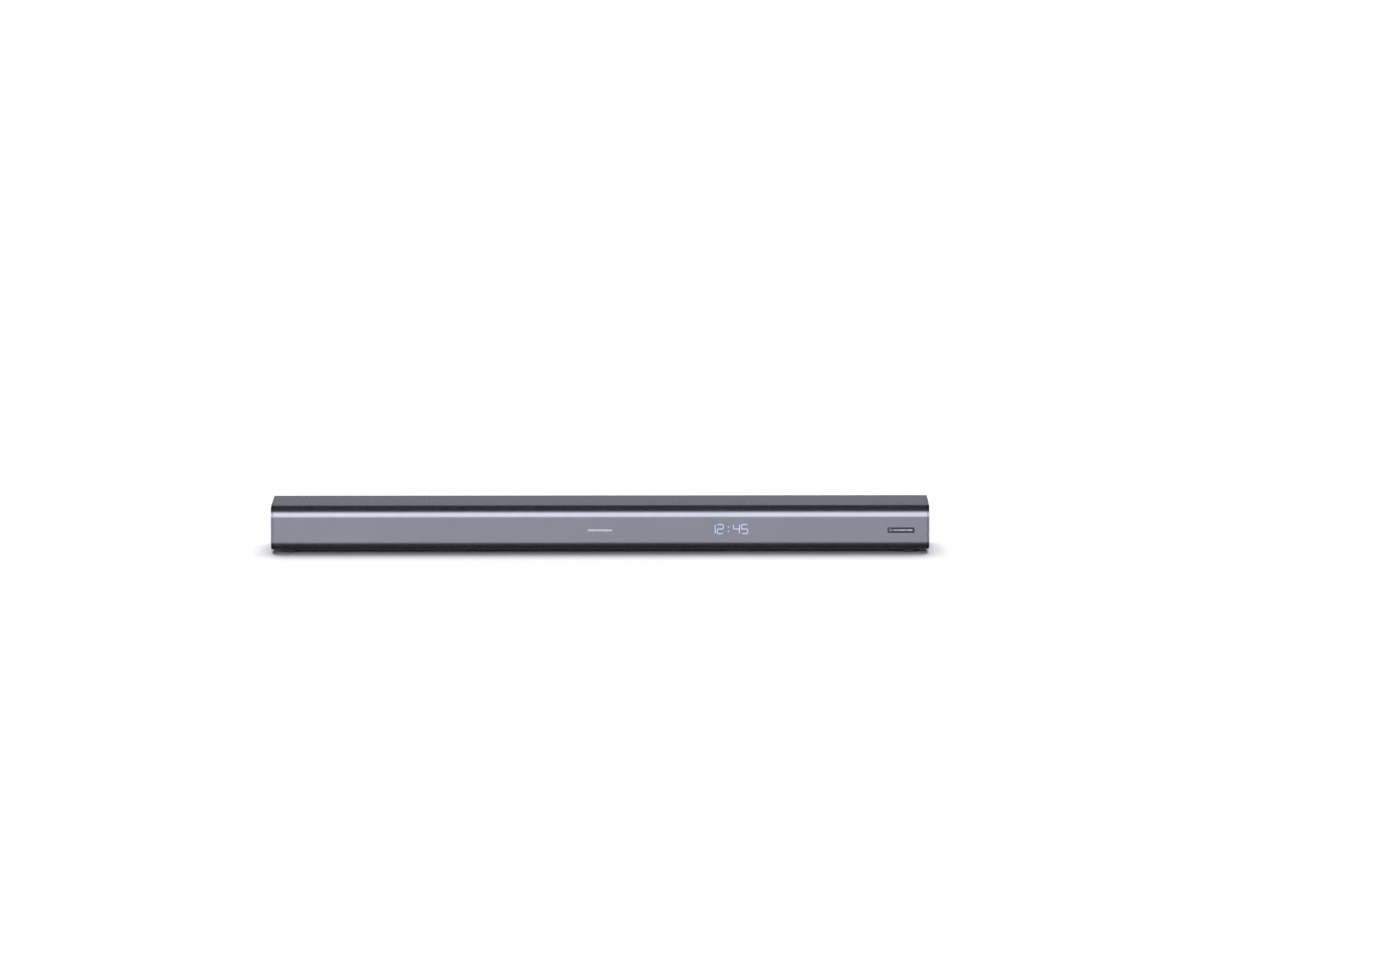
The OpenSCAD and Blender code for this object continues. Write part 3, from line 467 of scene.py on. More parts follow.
class Finish(Enum):
    """Every finish of the bar, by the material slot or the piece that wears it."""

    HOUSING = Moulded("housing_black", (0.022, 0.022, 0.024), 0.52)
    COVER = SatinMetal("cover_gunmetal")
    GRILLE = SatinMetal("grille_gunmetal", (0.56, 0.57, 0.635), 0.25, 1.5 * MM, 0.36 * MM)
    LIT_GRILLE = SatinMetal("grille_lit", (0.56, 0.57, 0.635), 0.25, 1.5 * MM, 0.36 * MM, 1.7)
    CLOTH = Weave("acoustic_cloth", (0.012, 0.012, 0.014))
    BAFFLE = Moulded("baffle_black", (0.012, 0.012, 0.013), 0.6)
    CAP = Moulded("cap_gunmetal", (0.40, 0.41, 0.46), 0.28, 1900.0, 0.00001, 1.0)
    EMBLEM = Plated("emblem_bright", (0.86, 0.87, 0.90), 0.32, (1.0, 1.0, 0.05))
    PLAQUE = Moulded("plaque_dark", (0.035, 0.037, 0.055), 0.4, 2200.0, 0.00002)
    PLAQUE_MARK = Plated("plaque_marks", (0.80, 0.81, 0.86), 0.35)
    FOOT = Moulded("foot_rubber", (0.008, 0.008, 0.008), 0.8, 900.0, 0.00012)
    BASKET = Moulded("basket_powder", (0.02, 0.02, 0.022), 0.45, 1100.0, 0.0001, 0.2)
    SURROUND = Moulded("surround_rubber", (0.01, 0.01, 0.01), 0.62, 800.0, 0.00004)
    CONE = PressedPaper("cone_pulp", (0.03, 0.03, 0.033))
    FERRITE = Moulded("magnet_ferrite", (0.055, 0.055, 0.06), 0.6, 1600.0, 0.0001, 0.25)
    POLE = Plated("pole_zinc", (0.68, 0.70, 0.72), 0.28)
    KEY = Moulded("key_gunmetal", (0.46, 0.47, 0.52), 0.24, 2000.0, 0.00001, 1.0)
    KEY_MARK = Moulded("key_print", (0.62, 0.63, 0.66), 0.5, 2500.0, 0.00001)
    PLUNGER = Moulded("plunger_black", (0.012, 0.012, 0.012), 0.45)
    BOARD = CircuitBoard("board_green")
    TIN = Plated("tinned_steel", (0.70, 0.71, 0.73), 0.33)
    HEATSINK = Plated("extruded_aluminium", (0.66, 0.67, 0.69), 0.38, (1.0, 0.05, 1.0))
    TRANSFORMER = Moulded("transformer_tape", (0.20, 0.11, 0.03), 0.5, 600.0)
    CAPACITOR = DarkLens("capacitor_sleeve", (0.02, 0.025, 0.09))
    DISPLAY = DarkLens("display_lens", (0.008, 0.008, 0.012), (0.5, 0.52, 0.9), 0.05)
    SOCKET_METAL = Plated("socket_nickel", (0.74, 0.74, 0.75), 0.24)
    CONTACT = Plated("contact_gold", (0.93, 0.70, 0.30), 0.22)
    SOCKET_PLASTIC = Moulded("socket_black", (0.013, 0.013, 0.014), 0.42)
    BRASS = Plated("insert_brass", (0.80, 0.60, 0.26), 0.28)
    SCREW = Plated("screw_black_zinc", (0.13, 0.13, 0.14), 0.35)
    LEADS = Moulded("lead_insulation", (0.25, 0.012, 0.012), 0.45, 700.0)

    def material(self) -> bpy.types.Material:
        """The finish's material, made once."""
        return bpy.data.materials.get(self.value.name) or self.value.make()


# ---------------------------------------------------------------- the bench


class Bench:
    """Modelling by Blender's own operators, on one active piece at a time."""

    @staticmethod
    def clear() -> None:
        """Leave edit mode and deselect everything."""
        active = bpy.context.view_layer.objects.active
        if active is not None and active.mode != "OBJECT":
            bpy.ops.object.mode_set(mode="OBJECT")
        bpy.ops.object.select_all(action="DESELECT")

    @staticmethod
    def pick(piece: Piece) -> None:
        """Make a piece the only selected and the active one."""
        Bench.clear()
        piece.select_set(True)
        bpy.context.view_layer.objects.active = piece

    @staticmethod
    def settle(name: str) -> Piece:
        """Name the new piece and put its place into its mesh."""
        piece = bpy.context.view_layer.objects.active
        piece.name = name
        piece.data.name = name
        bpy.ops.object.transform_apply(location=True, rotation=True, scale=True)
        return piece

    @staticmethod
    def block(name: str, low: Point, high: Point) -> Piece:
        """A cube stretched between two corners, to be shaped."""
        Bench.clear()
        low_v, high_v = Vector(low), Vector(high)
        bpy.ops.mesh.primitive_cube_add(size=1.0, location=(low_v + high_v) / 2, scale=high_v - low_v)
        return Bench.settle(name)

    @staticmethod
    def drum(name: str, middle: Point, radius: float, length: float, axis: Axis, sides: int = 48) -> Piece:
        """A cylinder about its middle along an axis, to be shaped."""
        Bench.clear()
        bpy.ops.mesh.primitive_cylinder_add(vertices=sides, radius=radius, depth=length, location=middle,
                                            rotation=axis.value)
        return Bench.settle(name)

    @staticmethod
    def ring(name: str, middle: Point, radius: float, thick: float, axis: Axis, sides: int = 48) -> Piece:
        """A torus about an axis."""
        Bench.clear()
        bpy.ops.mesh.primitive_torus_add(location=middle, rotation=axis.value, major_radius=radius,
                                         minor_radius=thick, major_segments=sides, minor_segments=10)
        return Bench.settle(name)

    @staticmethod
    def edit(piece: Piece, mode: str = "FACE") -> None:
        """Enter edit mode with nothing selected."""
        Bench.pick(piece)
        bpy.ops.object.mode_set(mode="EDIT")
        bpy.ops.mesh.select_mode(type=mode)
        bpy.ops.mesh.select_all(action="DESELECT")

    @staticmethod
    def done() -> None:
        """Return to object mode."""
        bpy.ops.object.mode_set(mode="OBJECT")

    @staticmethod
    def faces(piece: Piece, wanted: Wanted) -> int:
        """Select, in edit mode, the faces whose middle and normal are wanted.

        Args:
            piece: The piece being edited.
            wanted: A test of a face's middle and normal.

        Returns:
            How many were selected.
        """
        bpy.ops.object.mode_set(mode="OBJECT")
        mesh = piece.data
        for element in (*mesh.vertices, *mesh.edges, *mesh.polygons):
            element.select = False
        chosen = [f for f in mesh.polygons if wanted(f.center, f.normal)]
        for face in chosen:
            face.select = True
        bpy.ops.object.mode_set(mode="EDIT")
        bpy.ops.mesh.select_mode(type="FACE")
        return len(chosen)

    @staticmethod
    def edges(piece: Piece, wanted: Wanted) -> int:
        """Select, in edit mode, the edges whose two ends are wanted.

        Args:
            piece: The piece being edited.
            wanted: A test of an edge's two ends.

        Returns:
            How many were selected.
        """
        bpy.ops.mesh.select_mode(type="EDGE")
        bpy.ops.mesh.select_all(action="DESELECT")
        bpy.ops.object.mode_set(mode="OBJECT")
        mesh = piece.data
        count = 0
        for edge in mesh.edges:
            ends = [mesh.vertices[i].co for i in edge.vertices]
            edge.select = wanted(*ends)
            count += edge.select
        bpy.ops.object.mode_set(mode="EDIT")
        return count

    @staticmethod
    def round_edges(piece: Piece, width: float, steps: int, wanted: Wanted) -> None:
        """Bevel the edges whose two ends are wanted, and return to object mode."""
        Bench.edit(piece, "EDGE")
        Bench.edges(piece, wanted)
        bpy.ops.mesh.bevel(offset=width, segments=steps, affect="EDGES")
        Bench.done()

    @staticmethod
    def push(move: Point) -> None:
        """Extrude the selection by a move."""
        bpy.ops.mesh.extrude_region_move(TRANSFORM_OT_translate={"value": tuple(move)})

    @staticmethod
    def modify(piece: Piece, kind: str, **settings: object) -> None:
        """Add a modifier, set it up and apply it."""
        Bench.pick(piece)
        modifier = piece.modifiers.new(kind.lower(), kind)
        for key, value in settings.items():
            setattr(modifier, key, value)
        bpy.ops.object.modifier_apply(modifier=modifier.name)

    @staticmethod
    def soften(piece: Piece, width: float, steps: int = 2, angle: float = 35.0) -> None:
        """Round every edge sharper than an angle."""
        Bench.modify(piece, "BEVEL", width=width, segments=steps, limit_method="ANGLE",
                     angle_limit=math.radians(angle), use_clamp_overlap=True, miter_outer="MITER_ARC",
                     harden_normals=False)

    @staticmethod
    def cut(piece: Piece, cutters: Iterable[Piece], how: str = "DIFFERENCE") -> None:
        """Cut other pieces out of one, or join them to it, and remove them."""
        for cutter in cutters:
            Bench.modify(piece, "BOOLEAN", object=cutter, operation=how, solver="EXACT")
            bpy.data.objects.remove(cutter)

    @staticmethod
    def whole(piece: Piece) -> None:
        """Enter edit mode with the whole piece selected."""
        Bench.edit(piece, "VERT")
        bpy.ops.mesh.select_all(action="SELECT")

    @staticmethod
    def turn(piece: Piece, angle: float, axis: str, centre: Point) -> None:
        """Turn a whole piece about an axis through a point."""
        Bench.whole(piece)
        bpy.ops.transform.rotate(value=angle, orient_axis=axis, center_override=centre)
        Bench.done()

    @staticmethod
    def flatten(piece: Piece, share: float, y: float) -> None:
        """Squash a whole piece along Y towards a plane, to a share of its depth."""
        Bench.whole(piece)
        bpy.ops.transform.resize(value=(1.0, share, 1.0), center_override=(0.0, y, 0.0))
        Bench.done()

    @staticmethod
    def tidy(piece: Piece, turn: bool = False) -> None:
        """Merge doubles and, for a turned or mirrored shape, point its faces outwards."""
        Bench.whole(piece)
        bpy.ops.mesh.remove_doubles(threshold=DOUBLES)
        if turn:
            bpy.ops.mesh.normals_make_consistent(inside=False)
        Bench.done()

    @staticmethod
    def smooth(piece: Piece, angle: float = 30.0) -> None:
        """Smooth the shading below an angle, and keep the broad faces flat."""
        Bench.pick(piece)
        bpy.ops.object.shade_smooth_by_angle(angle=math.radians(angle))
        Bench.modify(piece, "WEIGHTED_NORMAL", mode="FACE_AREA", weight=100, keep_sharp=True)

    @staticmethod
    def join(name: str, pieces: Sequence[Piece]) -> Piece:
        """Join several pieces into one."""
        Bench.clear()
        for piece in pieces:
            piece.select_set(True)
        bpy.context.view_layer.objects.active = pieces[0]
        if len(pieces) > 1:
            bpy.ops.object.join()
        pieces[0].name = pieces[0].data.name = name
        return pieces[0]


class Trace:
    """An end view (Y, Z) drawn point by point, then drawn out along X."""

    def __init__(self, name: str, x: float, start: Point) -> None:
        """Start with one point.

        Args:
            name: The piece's name.
            x: Where the end view lies.
            start: Y and Z of its first point.
        """
        Bench.clear()
        bpy.ops.mesh.primitive_plane_add(size=1.0)
        self.piece = Bench.settle(name)
        self.x = x
        self.at = Vector((x, *start))
        bpy.ops.object.mode_set(mode="EDIT")
        bpy.ops.mesh.select_mode(type="VERT")
        bpy.ops.mesh.select_all(action="SELECT")
        bpy.ops.mesh.merge(type="CENTER")
        bpy.ops.transform.translate(value=self.at)

    def line(self, y: float, z: float) -> "Trace":
        """Go straight to a point."""
        there = Vector((self.x, y, z))
        Bench.push(there - self.at)
        self.at = there
        return self

    def arc(self, y: float, z: float, degrees: float, steps: int) -> "Trace":
        """Turn about a centre; a positive turn goes from +Y to +Z."""
        turn = math.radians(degrees)
        bpy.ops.mesh.spin(steps=steps, angle=-turn, center=(self.x, y, z), axis=(1.0, 0.0, 0.0))
        off = self.at - Vector((self.x, y, z))
        self.at = Vector((self.x, y + off.y * math.cos(turn) - off.z * math.sin(turn),
                          z + off.y * math.sin(turn) + off.z * math.cos(turn)))
        return self

    def sheet(self, length: float) -> Piece:
        """Draw the open line out along X into a sheet."""
        return self._draw_out(length, False)

    def solid(self, length: float) -> Piece:
        """Close the line, fill it and draw it out along X into a solid."""
        return self._draw_out(length, True)

    def _draw_out(self, length: float, filled: bool) -> Piece:
        """Merge the line's doubles, fill it if asked, and draw it out along X."""
        bpy.ops.mesh.select_all(action="SELECT")
        bpy.ops.mesh.remove_doubles(threshold=DOUBLES)
        if filled:
            bpy.ops.mesh.edge_face_add()
        Bench.push((length, 0.0, 0.0))
        bpy.ops.mesh.select_all(action="SELECT")
        bpy.ops.mesh.normals_make_consistent(inside=False)
        Bench.done()
        return self.piece


def fit(piece: Piece, finish: Finish, slot: str, body: str = CABINET, *nodes: str) -> Piece:
    """Dress a finished piece and fix it to the frame.

    Args:
        piece: The piece.
        finish: What it is finished in.
        slot: The record's material slot.
        body: The body that it moves with.
        nodes: The CAD nodes that it stands for.

    Returns:
        The piece.
    """
    piece.data.materials.clear()
    piece.data.materials.append(finish.material())
    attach(piece, body)
    if nodes:
        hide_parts(*nodes)
    log.info("%s: %d faces, on %s, in %s", piece.name, len(piece.data.polygons), body, finish.value.name)
    return piece


# ---------------------------------------------------------------- the studio


@dataclass
class Studio:
    """The camera, the pale floor and the soft light."""

    aim: Point = (0.1440, -0.0522, 0.1077)
    camera_x: float = 0.078
    distance: float = 10.2
    elevation: float = 9.0
    lens: float = 182.0
    sensor: float = 36.0
    sun: float = 7.6
    sun_height: float = 62.0
    sun_width: float = 58.0

    def build(self) -> None:
        """Set the camera, the floor, the surroundings and the lamps."""
        scene = bpy.context.scene
        scene.view_settings.view_transform = "Standard"
        self._camera(scene)
        self._floor()
        self._surroundings(scene)
        self._lamps()

    def _camera(self, scene: bpy.types.Scene) -> None:
        """Set the camera in front, a little above the bar."""
        tilt = math.radians(self.elevation)
        data = bpy.data.cameras.new("front_camera")
        data.lens, data.sensor_width = self.lens, self.sensor
        data.clip_start, data.clip_end = 0.1, 200.0
        camera = bpy.data.objects.new("front_camera", data)
        scene.collection.objects.link(camera)
        target = Vector(self.aim)
        camera.location = (self.camera_x, target.y - self.distance * math.cos(tilt),
                           target.z + self.distance * math.sin(tilt))
        camera.rotation_euler = (target - camera.location).to_track_quat("-Z", "Y").to_euler()
        scene.camera = camera

    def _floor(self) -> None:
        """Lay a wide pale floor under the feet."""
        Bench.clear()
        bpy.ops.mesh.primitive_plane_add(size=90.0, location=(0.0, 20.0, 0.0))
        floor = Bench.settle("studio_floor")
        floor.data.materials.append(PaleFloor().make())
        floor.visible_glossy = False

    def _surroundings(self, scene: bpy.types.Scene) -> None:
        """Hang soft bright cloths round the set, by height above the horizon from front to back."""
        stops = [(-180, 0.34), (-162, 0.24), (-140, 0.05), (-110, 0.02), (-60, 0.03), (-34, 0.07),
                 (-22, 0.26), (-13, 0.44), (-6, 0.50), (-1, 0.85), (5, 1.6), (34, 1.7), (44, 1.1),
                 (54, 0.22), (64, 0.02), (100, 0.01), (128, 0.02), (148, 0.10),
                 (162, 0.26), (171, 0.34), (180, 0.37)]
        scene.world = bpy.data.worlds.new("studio_cloths")
        sheet = Sheet("studio_cloths", scene.world)
        side, depth, up = sheet.parts(sheet.add("ShaderNodeTexCoord").outputs["Generated"])
        angle = sheet.math("ARCTAN2", up, depth * -1.0)
        share = angle / (2.0 * math.pi) + 0.5
        ramp = sheet.add("ShaderNodeValToRGB", {"stops": [
            (degrees / 360.0 + 0.5, (light, light * 1.015, light * 1.09)) for degrees, light in stops]},
            {"Fac": share})
        back = sheet.add("ShaderNodeBackground", None, {"Color": ramp.outputs["Color"],
                                                        "Strength": 1.0 - side * 0.3})
        sheet.add("ShaderNodeOutputWorld", None, {"Surface": back.outputs[0]})

    def _lamps(self) -> None:
        """Hang one very broad soft lamp, high behind the bar."""
        data = bpy.data.lights.new("high_softbox", "SUN")
        data.energy = self.sun
        data.angle = math.radians(self.sun_width)
        lamp = bpy.data.objects.new("high_softbox", data)
        bpy.context.scene.collection.objects.link(lamp)
        lamp.rotation_euler = (-math.radians(90.0 - self.sun_height), 0.0, 0.0)
        lamp.visible_glossy = False


# ---------------------------------------------------------------- the shells


@dataclass
class Shells:
    """The bar's outer skin: grille, top cover and the two end caps."""

    half_width: float = 471.8 * MM
    end: float = 475.0 * MM
    cap: float = 3.0 * MM
    front: float = -52.2 * MM
    rear: float = 52.5 * MM
    base: float = 5.0 * MM
    top: float = 69.0 * MM
    top_radius: float = 16.5 * MM
    bottom_radius: float = 12.5 * MM
    rear_radius: float = 3.0 * MM
    seam_y: float = -30.7 * MM
    seam: float = 0.2 * MM
    flange_y: float = -34.7 * MM
    grille_sheet: float = 0.8 * MM
    cover_sheet: float = 2.0 * MM
    cover_low: float = 59.0 * MM

    def build(self) -> None:
        """Build and dress all of the skin."""
        self.grille()
        self.top_cover()
        for sign, name in ((-1.0, "end_cap_left"), (1.0, "end_cap_right")):
            self.end_cap(sign, name)

    def lay_uv(self, piece: Piece) -> None:
        """Unroll a sheet: U is X and V is the way round the front, in metres."""
        layer = piece.data.uv_layers.get(SHEET_UV) or piece.data.uv_layers.new(name=SHEET_UV)
        top_arc = self.seam_y - (self.front + self.top_radius)
        low_start = top_arc + self.top_radius * math.pi / 2 + (
            self.top - self.top_radius - self.base - self.bottom_radius)
        for loop in piece.data.loops:
            x, y, z = piece.data.vertices[loop.vertex_index].co
            above = z > (self.top + self.base) / 2
            radius = self.top_radius if above else self.bottom_radius
            centre_y = self.front + radius
            centre_z = self.top - radius if above else self.base + radius
            outside = z >= centre_z if above else z <= centre_z
            if outside and y <= centre_y:
                turn = math.atan2(abs(z - centre_z), centre_y - y)
                way = (top_arc + radius * (math.pi / 2 - turn)) if above else low_start + radius * turn
            elif outside:
                way = self.seam_y - y if above else low_start + radius * math.pi / 2 + (y - centre_y)
            else:
                way = low_start - (z - self.base - self.bottom_radius)
            layer.data[loop.index].uv = (x, way)

    def grille(self) -> None:
        """The perforated sheet, from the top seam round the front to the underside."""
        trace = Trace("grille_sheet", -self.half_width, (self.seam_y, self.top))
        trace.line(self.front + self.top_radius, self.top)
        trace.arc(self.front + self.top_radius, self.top - self.top_radius, 90.0, 28)
        trace.line(self.front, self.base + self.bottom_radius)
        trace.arc(self.front + self.bottom_radius, self.base + self.bottom_radius, 90.0, 24)
        trace.line(self.flange_y, self.base)
        piece = trace.sheet(2 * self.half_width)
        self._face_out(piece)
        Bench.modify(piece, "SOLIDIFY", thickness=self.grille_sheet, offset=-1.0)
        Bench.soften(piece, 0.18 * MM, 2, 60.0)
        self.lay_uv(piece)
        Bench.smooth(piece, 40.0)
        fit(piece, Finish.GRILLE, "grille_metal", CABINET, "front_grille")

    def _face_out(self, piece: Piece) -> None:
        """Turn a sheet's faces away from the middle of the bar."""
        middle = Vector((0.0, 0.0, (self.base + self.top) / 2))
        face = max(piece.data.polygons, key=lambda f: f.area)
        away = face.center - middle
        away.x = 0.0
        if face.normal.dot(away) < 0:
            Bench.whole(piece)
            bpy.ops.mesh.flip_normals()
            Bench.done()

    def top_cover(self) -> None:
        """The plain sheet over the top, rolled down behind."""
        start = self.seam_y + self.seam
        trace = Trace("top_sheet", -self.half_width, (self.rear, self.cover_low))
        trace.line(self.rear, self.top - self.rear_radius)
        trace.arc(self.rear - self.rear_radius, self.top - self.rear_radius, 90.0, 10)
        trace.line(start, self.top)
        piece = trace.sheet(2 * self.half_width)
        self._face_out(piece)
        Bench.modify(piece, "SOLIDIFY", thickness=self.cover_sheet, offset=-1.0)
        Bench.soften(piece, 0.3 * MM, 3, 60.0)
        self.lay_uv(piece)
        Bench.smooth(piece, 40.0)
        fit(piece, Finish.COVER, "cover_metal", CABINET, "top_cover")

    def end_cap(self, sign: float, name: str) -> None:
        """A cap plate with a rounded rim, and on the right the recess for the keys.

        Args:
            sign: Plus one for the right end, minus one for the left.
            name: The CAD node that it stands for.
        """
        inner = self.end - self.cap
        trace = Trace(name + "_plate", inner if sign > 0 else -self.end,
                      (self.front + self.top_radius, self.top))
        trace.arc(self.front + self.top_radius, self.top - self.top_radius, 90.0, 28)
        trace.line(self.front, self.base + self.bottom_radius)
        trace.arc(self.front + self.bottom_radius, self.base + self.bottom_radius, 90.0, 24)
        trace.line(self.rear - self.rear_radius, self.base)
        trace.arc(self.rear - self.rear_radius, self.base + self.rear_radius, 90.0, 8)
        trace.line(self.rear, self.top - self.rear_radius)
        trace.arc(self.rear - self.rear_radius, self.top - self.rear_radius, 90.0, 8)
        piece = trace.solid(self.cap)
        Bench.edit(piece, "EDGE")
        Bench.edges(piece, lambda a, b: min(a.x * sign, b.x * sign) > self.end - HAIR)
        bpy.ops.mesh.bevel(offset=0.8 * MM, segments=4, affect="EDGES")
        Bench.edges(piece, lambda a, b: max(a.x * sign, b.x * sign) < inner + HAIR)
        bpy.ops.mesh.bevel(offset=0.2 * MM, segments=1, affect="EDGES")
        Bench.done()
        if sign > 0:
            KeyPad().cut_recess(piece)
        Bench.smooth(piece, 40.0)
        fit(piece, Finish.CAP, "cap_plastic", CABINET, name)


# ---------------------------------------------------------------- the keys


class KeySign(Enum):
    """What a key does."""

    POWER = "power"
    SOURCE = "source"
    VOLUME_DOWN = "volume_down"
    VOLUME_UP = "volume_up"


@dataclass
class KeyPad:
    """The four keys in their recess on the right end cap."""

    places: tuple[float, ...] = (-18.0 * MM, -2.0 * MM, 14.0 * MM, 30.0 * MM)
    height: float = 42.1 * MM
    radius: float = 4.5 * MM
    face: float = 474.7 * MM
    inner: float = 472.0 * MM
    outer: float = 475.0 * MM
    recess_radius: float = 6.7 * MM
    recess_depth: float = 0.8 * MM
    hole_gap: float = 0.2 * MM
    stem_end: float = 468.3 * MM
    flange_x: float = 471.2 * MM
    flange_rim: float = 1.3 * MM
    dish: float = 0.22 * MM
    print_lift: float = 0.05 * MM

    def cut_recess(self, cap: Piece) -> None:
        """Cut the stadium recess and the four key holes into the cap."""
        low, high = self.places[0], self.places[-1]
        floor = self.outer - self.recess_depth
        well = Bench.block("well", (floor, low - self.recess_radius, self.height - self.recess_radius),
                           (self.outer + 2 * MM, high + self.recess_radius, self.height + self.recess_radius))
        Bench.round_edges(well, self.recess_radius * 0.999, 20, lambda a, b: abs(a.x - b.x) > MM)
        Bench.cut(cap, [well])
        holes = [Bench.drum("hole", (self.inner + 1.0 * MM, y, self.height), self.radius + self.hole_gap,
                            6 * MM, Axis.X, 56) for y in self.places]
        Bench.cut(cap, [Bench.join("holes", holes)])
        Bench.tidy(cap)

    def build(self) -> None:
        """Build, mark and dress the four keys."""
        for sign, y in zip(KeySign, self.places):
            body = sign.value + "_key"
            fit(self._key(sign.value + "_cap", y), Finish.KEY, "key_plastic", body, sign.value + "_button")
            fit(self._mark(sign, y), Finish.KEY_MARK, "key_plastic", body)

    def _key(self, name: str, y: float) -> Piece:
        """One key: a round cap with a rolled rim, a shallow dish and its flange and stem behind."""
        length = self.face - self.stem_end
        piece = Bench.drum(name, (self.face - length / 2, y, self.height), self.radius, length, Axis.X, 56)
        Bench.edit(piece)
        Bench.faces(piece, lambda c, n: n.x > FACING)
        bpy.ops.mesh.bevel(offset=0.35 * MM, segments=3, affect="EDGES")
        Bench.faces(piece, lambda c, n: n.x > FACING and c.x > self.face - HAIR)
        bpy.ops.mesh.inset(thickness=0.55 * MM)
        bpy.ops.mesh.inset(thickness=0.5 * MM)
        bpy.ops.transform.translate(value=(-0.16 * MM, 0.0, 0.0))
        bpy.ops.mesh.inset(thickness=0.7 * MM)
        bpy.ops.transform.translate(value=(-0.06 * MM, 0.0, 0.0))
        Bench.faces(piece, lambda c, n: n.x < -FACING)
        bpy.ops.mesh.inset(thickness=2.4 * MM)
        Bench.push((-1.6 * MM, 0.0, 0.0))
        Bench.done()
        flange = Bench.drum("flange", (self.flange_x, y, self.height), self.radius + self.flange_rim,
                            1.0 * MM, Axis.X, 56)
        Bench.cut(piece, [flange], "UNION")
        Bench.smooth(piece, 35.0)
        return piece

    def _bar(self, y: float, z: float, wide: float, tall: float, degrees: float = 0.0) -> Piece:
        """One printed bar with round ends, in the key's dish, turned about its middle."""
        x = self.face - self.dish
        piece = Bench.block("bar", (x - 0.02 * MM, y - wide / 2, z - tall / 2),
                            (x + self.print_lift, y + wide / 2, z + tall / 2))
        Bench.round_edges(piece, min(wide, tall) * 0.45, 4, lambda a, b: abs(a.x - b.x) > HAIR)
        Bench.turn(piece, math.radians(degrees), "X", (x, y, z))
        return piece

    def _mark(self, sign: KeySign, y: float) -> Piece:
        """The printed sign on one key."""
        z, stroke = self.height, 0.5 * MM
        if sign is KeySign.VOLUME_DOWN:
            bars = [self._bar(y, z, 3.4 * MM, stroke)]
        elif sign is KeySign.VOLUME_UP:
            bars = [self._bar(y, z, 3.4 * MM, stroke)]
            Bench.cut(bars[0], [self._bar(y, z, stroke, 3.4 * MM)], "UNION")
        elif sign is KeySign.SOURCE:
            bars = [self._bar(y - 0.55 * MM, z, 2.5 * MM, stroke),
                    self._bar(y + 1.75 * MM, z, stroke, 3.4 * MM)]
            Bench.cut(bars[0], [self._bar(y + 0.28 * MM, z + side * 0.38 * MM, 1.35 * MM, stroke, side * 45.0)
                                for side in (-1.0, 1.0)], "UNION")
        else:
            bars = [self._bar(y, z + 1.1 * MM, stroke, 1.7 * MM), self._ring(y, z - 0.1 * MM, stroke)]
        return Bench.join(sign.value + "_sign", bars)

    def _ring(self, y: float, z: float, stroke: float) -> Piece:
        """The open ring of the power sign."""
        x, radius = self.face - self.dish, 1.5 * MM
        piece = Bench.block("ring", (x - 0.02 * MM, y - stroke / 2, z - radius - stroke / 2),
                            (x + self.print_lift, y + stroke / 2, z - radius + stroke / 2))
        Bench.edit(piece)
        Bench.faces(piece, lambda c, n: n.y > FACING)
        bpy.ops.mesh.spin(steps=14, angle=-math.radians(140.0), center=(x, y, z), axis=(1.0, 0.0, 0.0))
        Bench.faces(piece, lambda c, n: n.y < -FACING and c.z < z - radius + stroke)
        bpy.ops.mesh.spin(steps=14, angle=math.radians(140.0), center=(x, y, z), axis=(1.0, 0.0, 0.0))
        Bench.done()
        Bench.tidy(piece, True)
        return piece


# ---------------------------------------------------------------- the front's marks and display


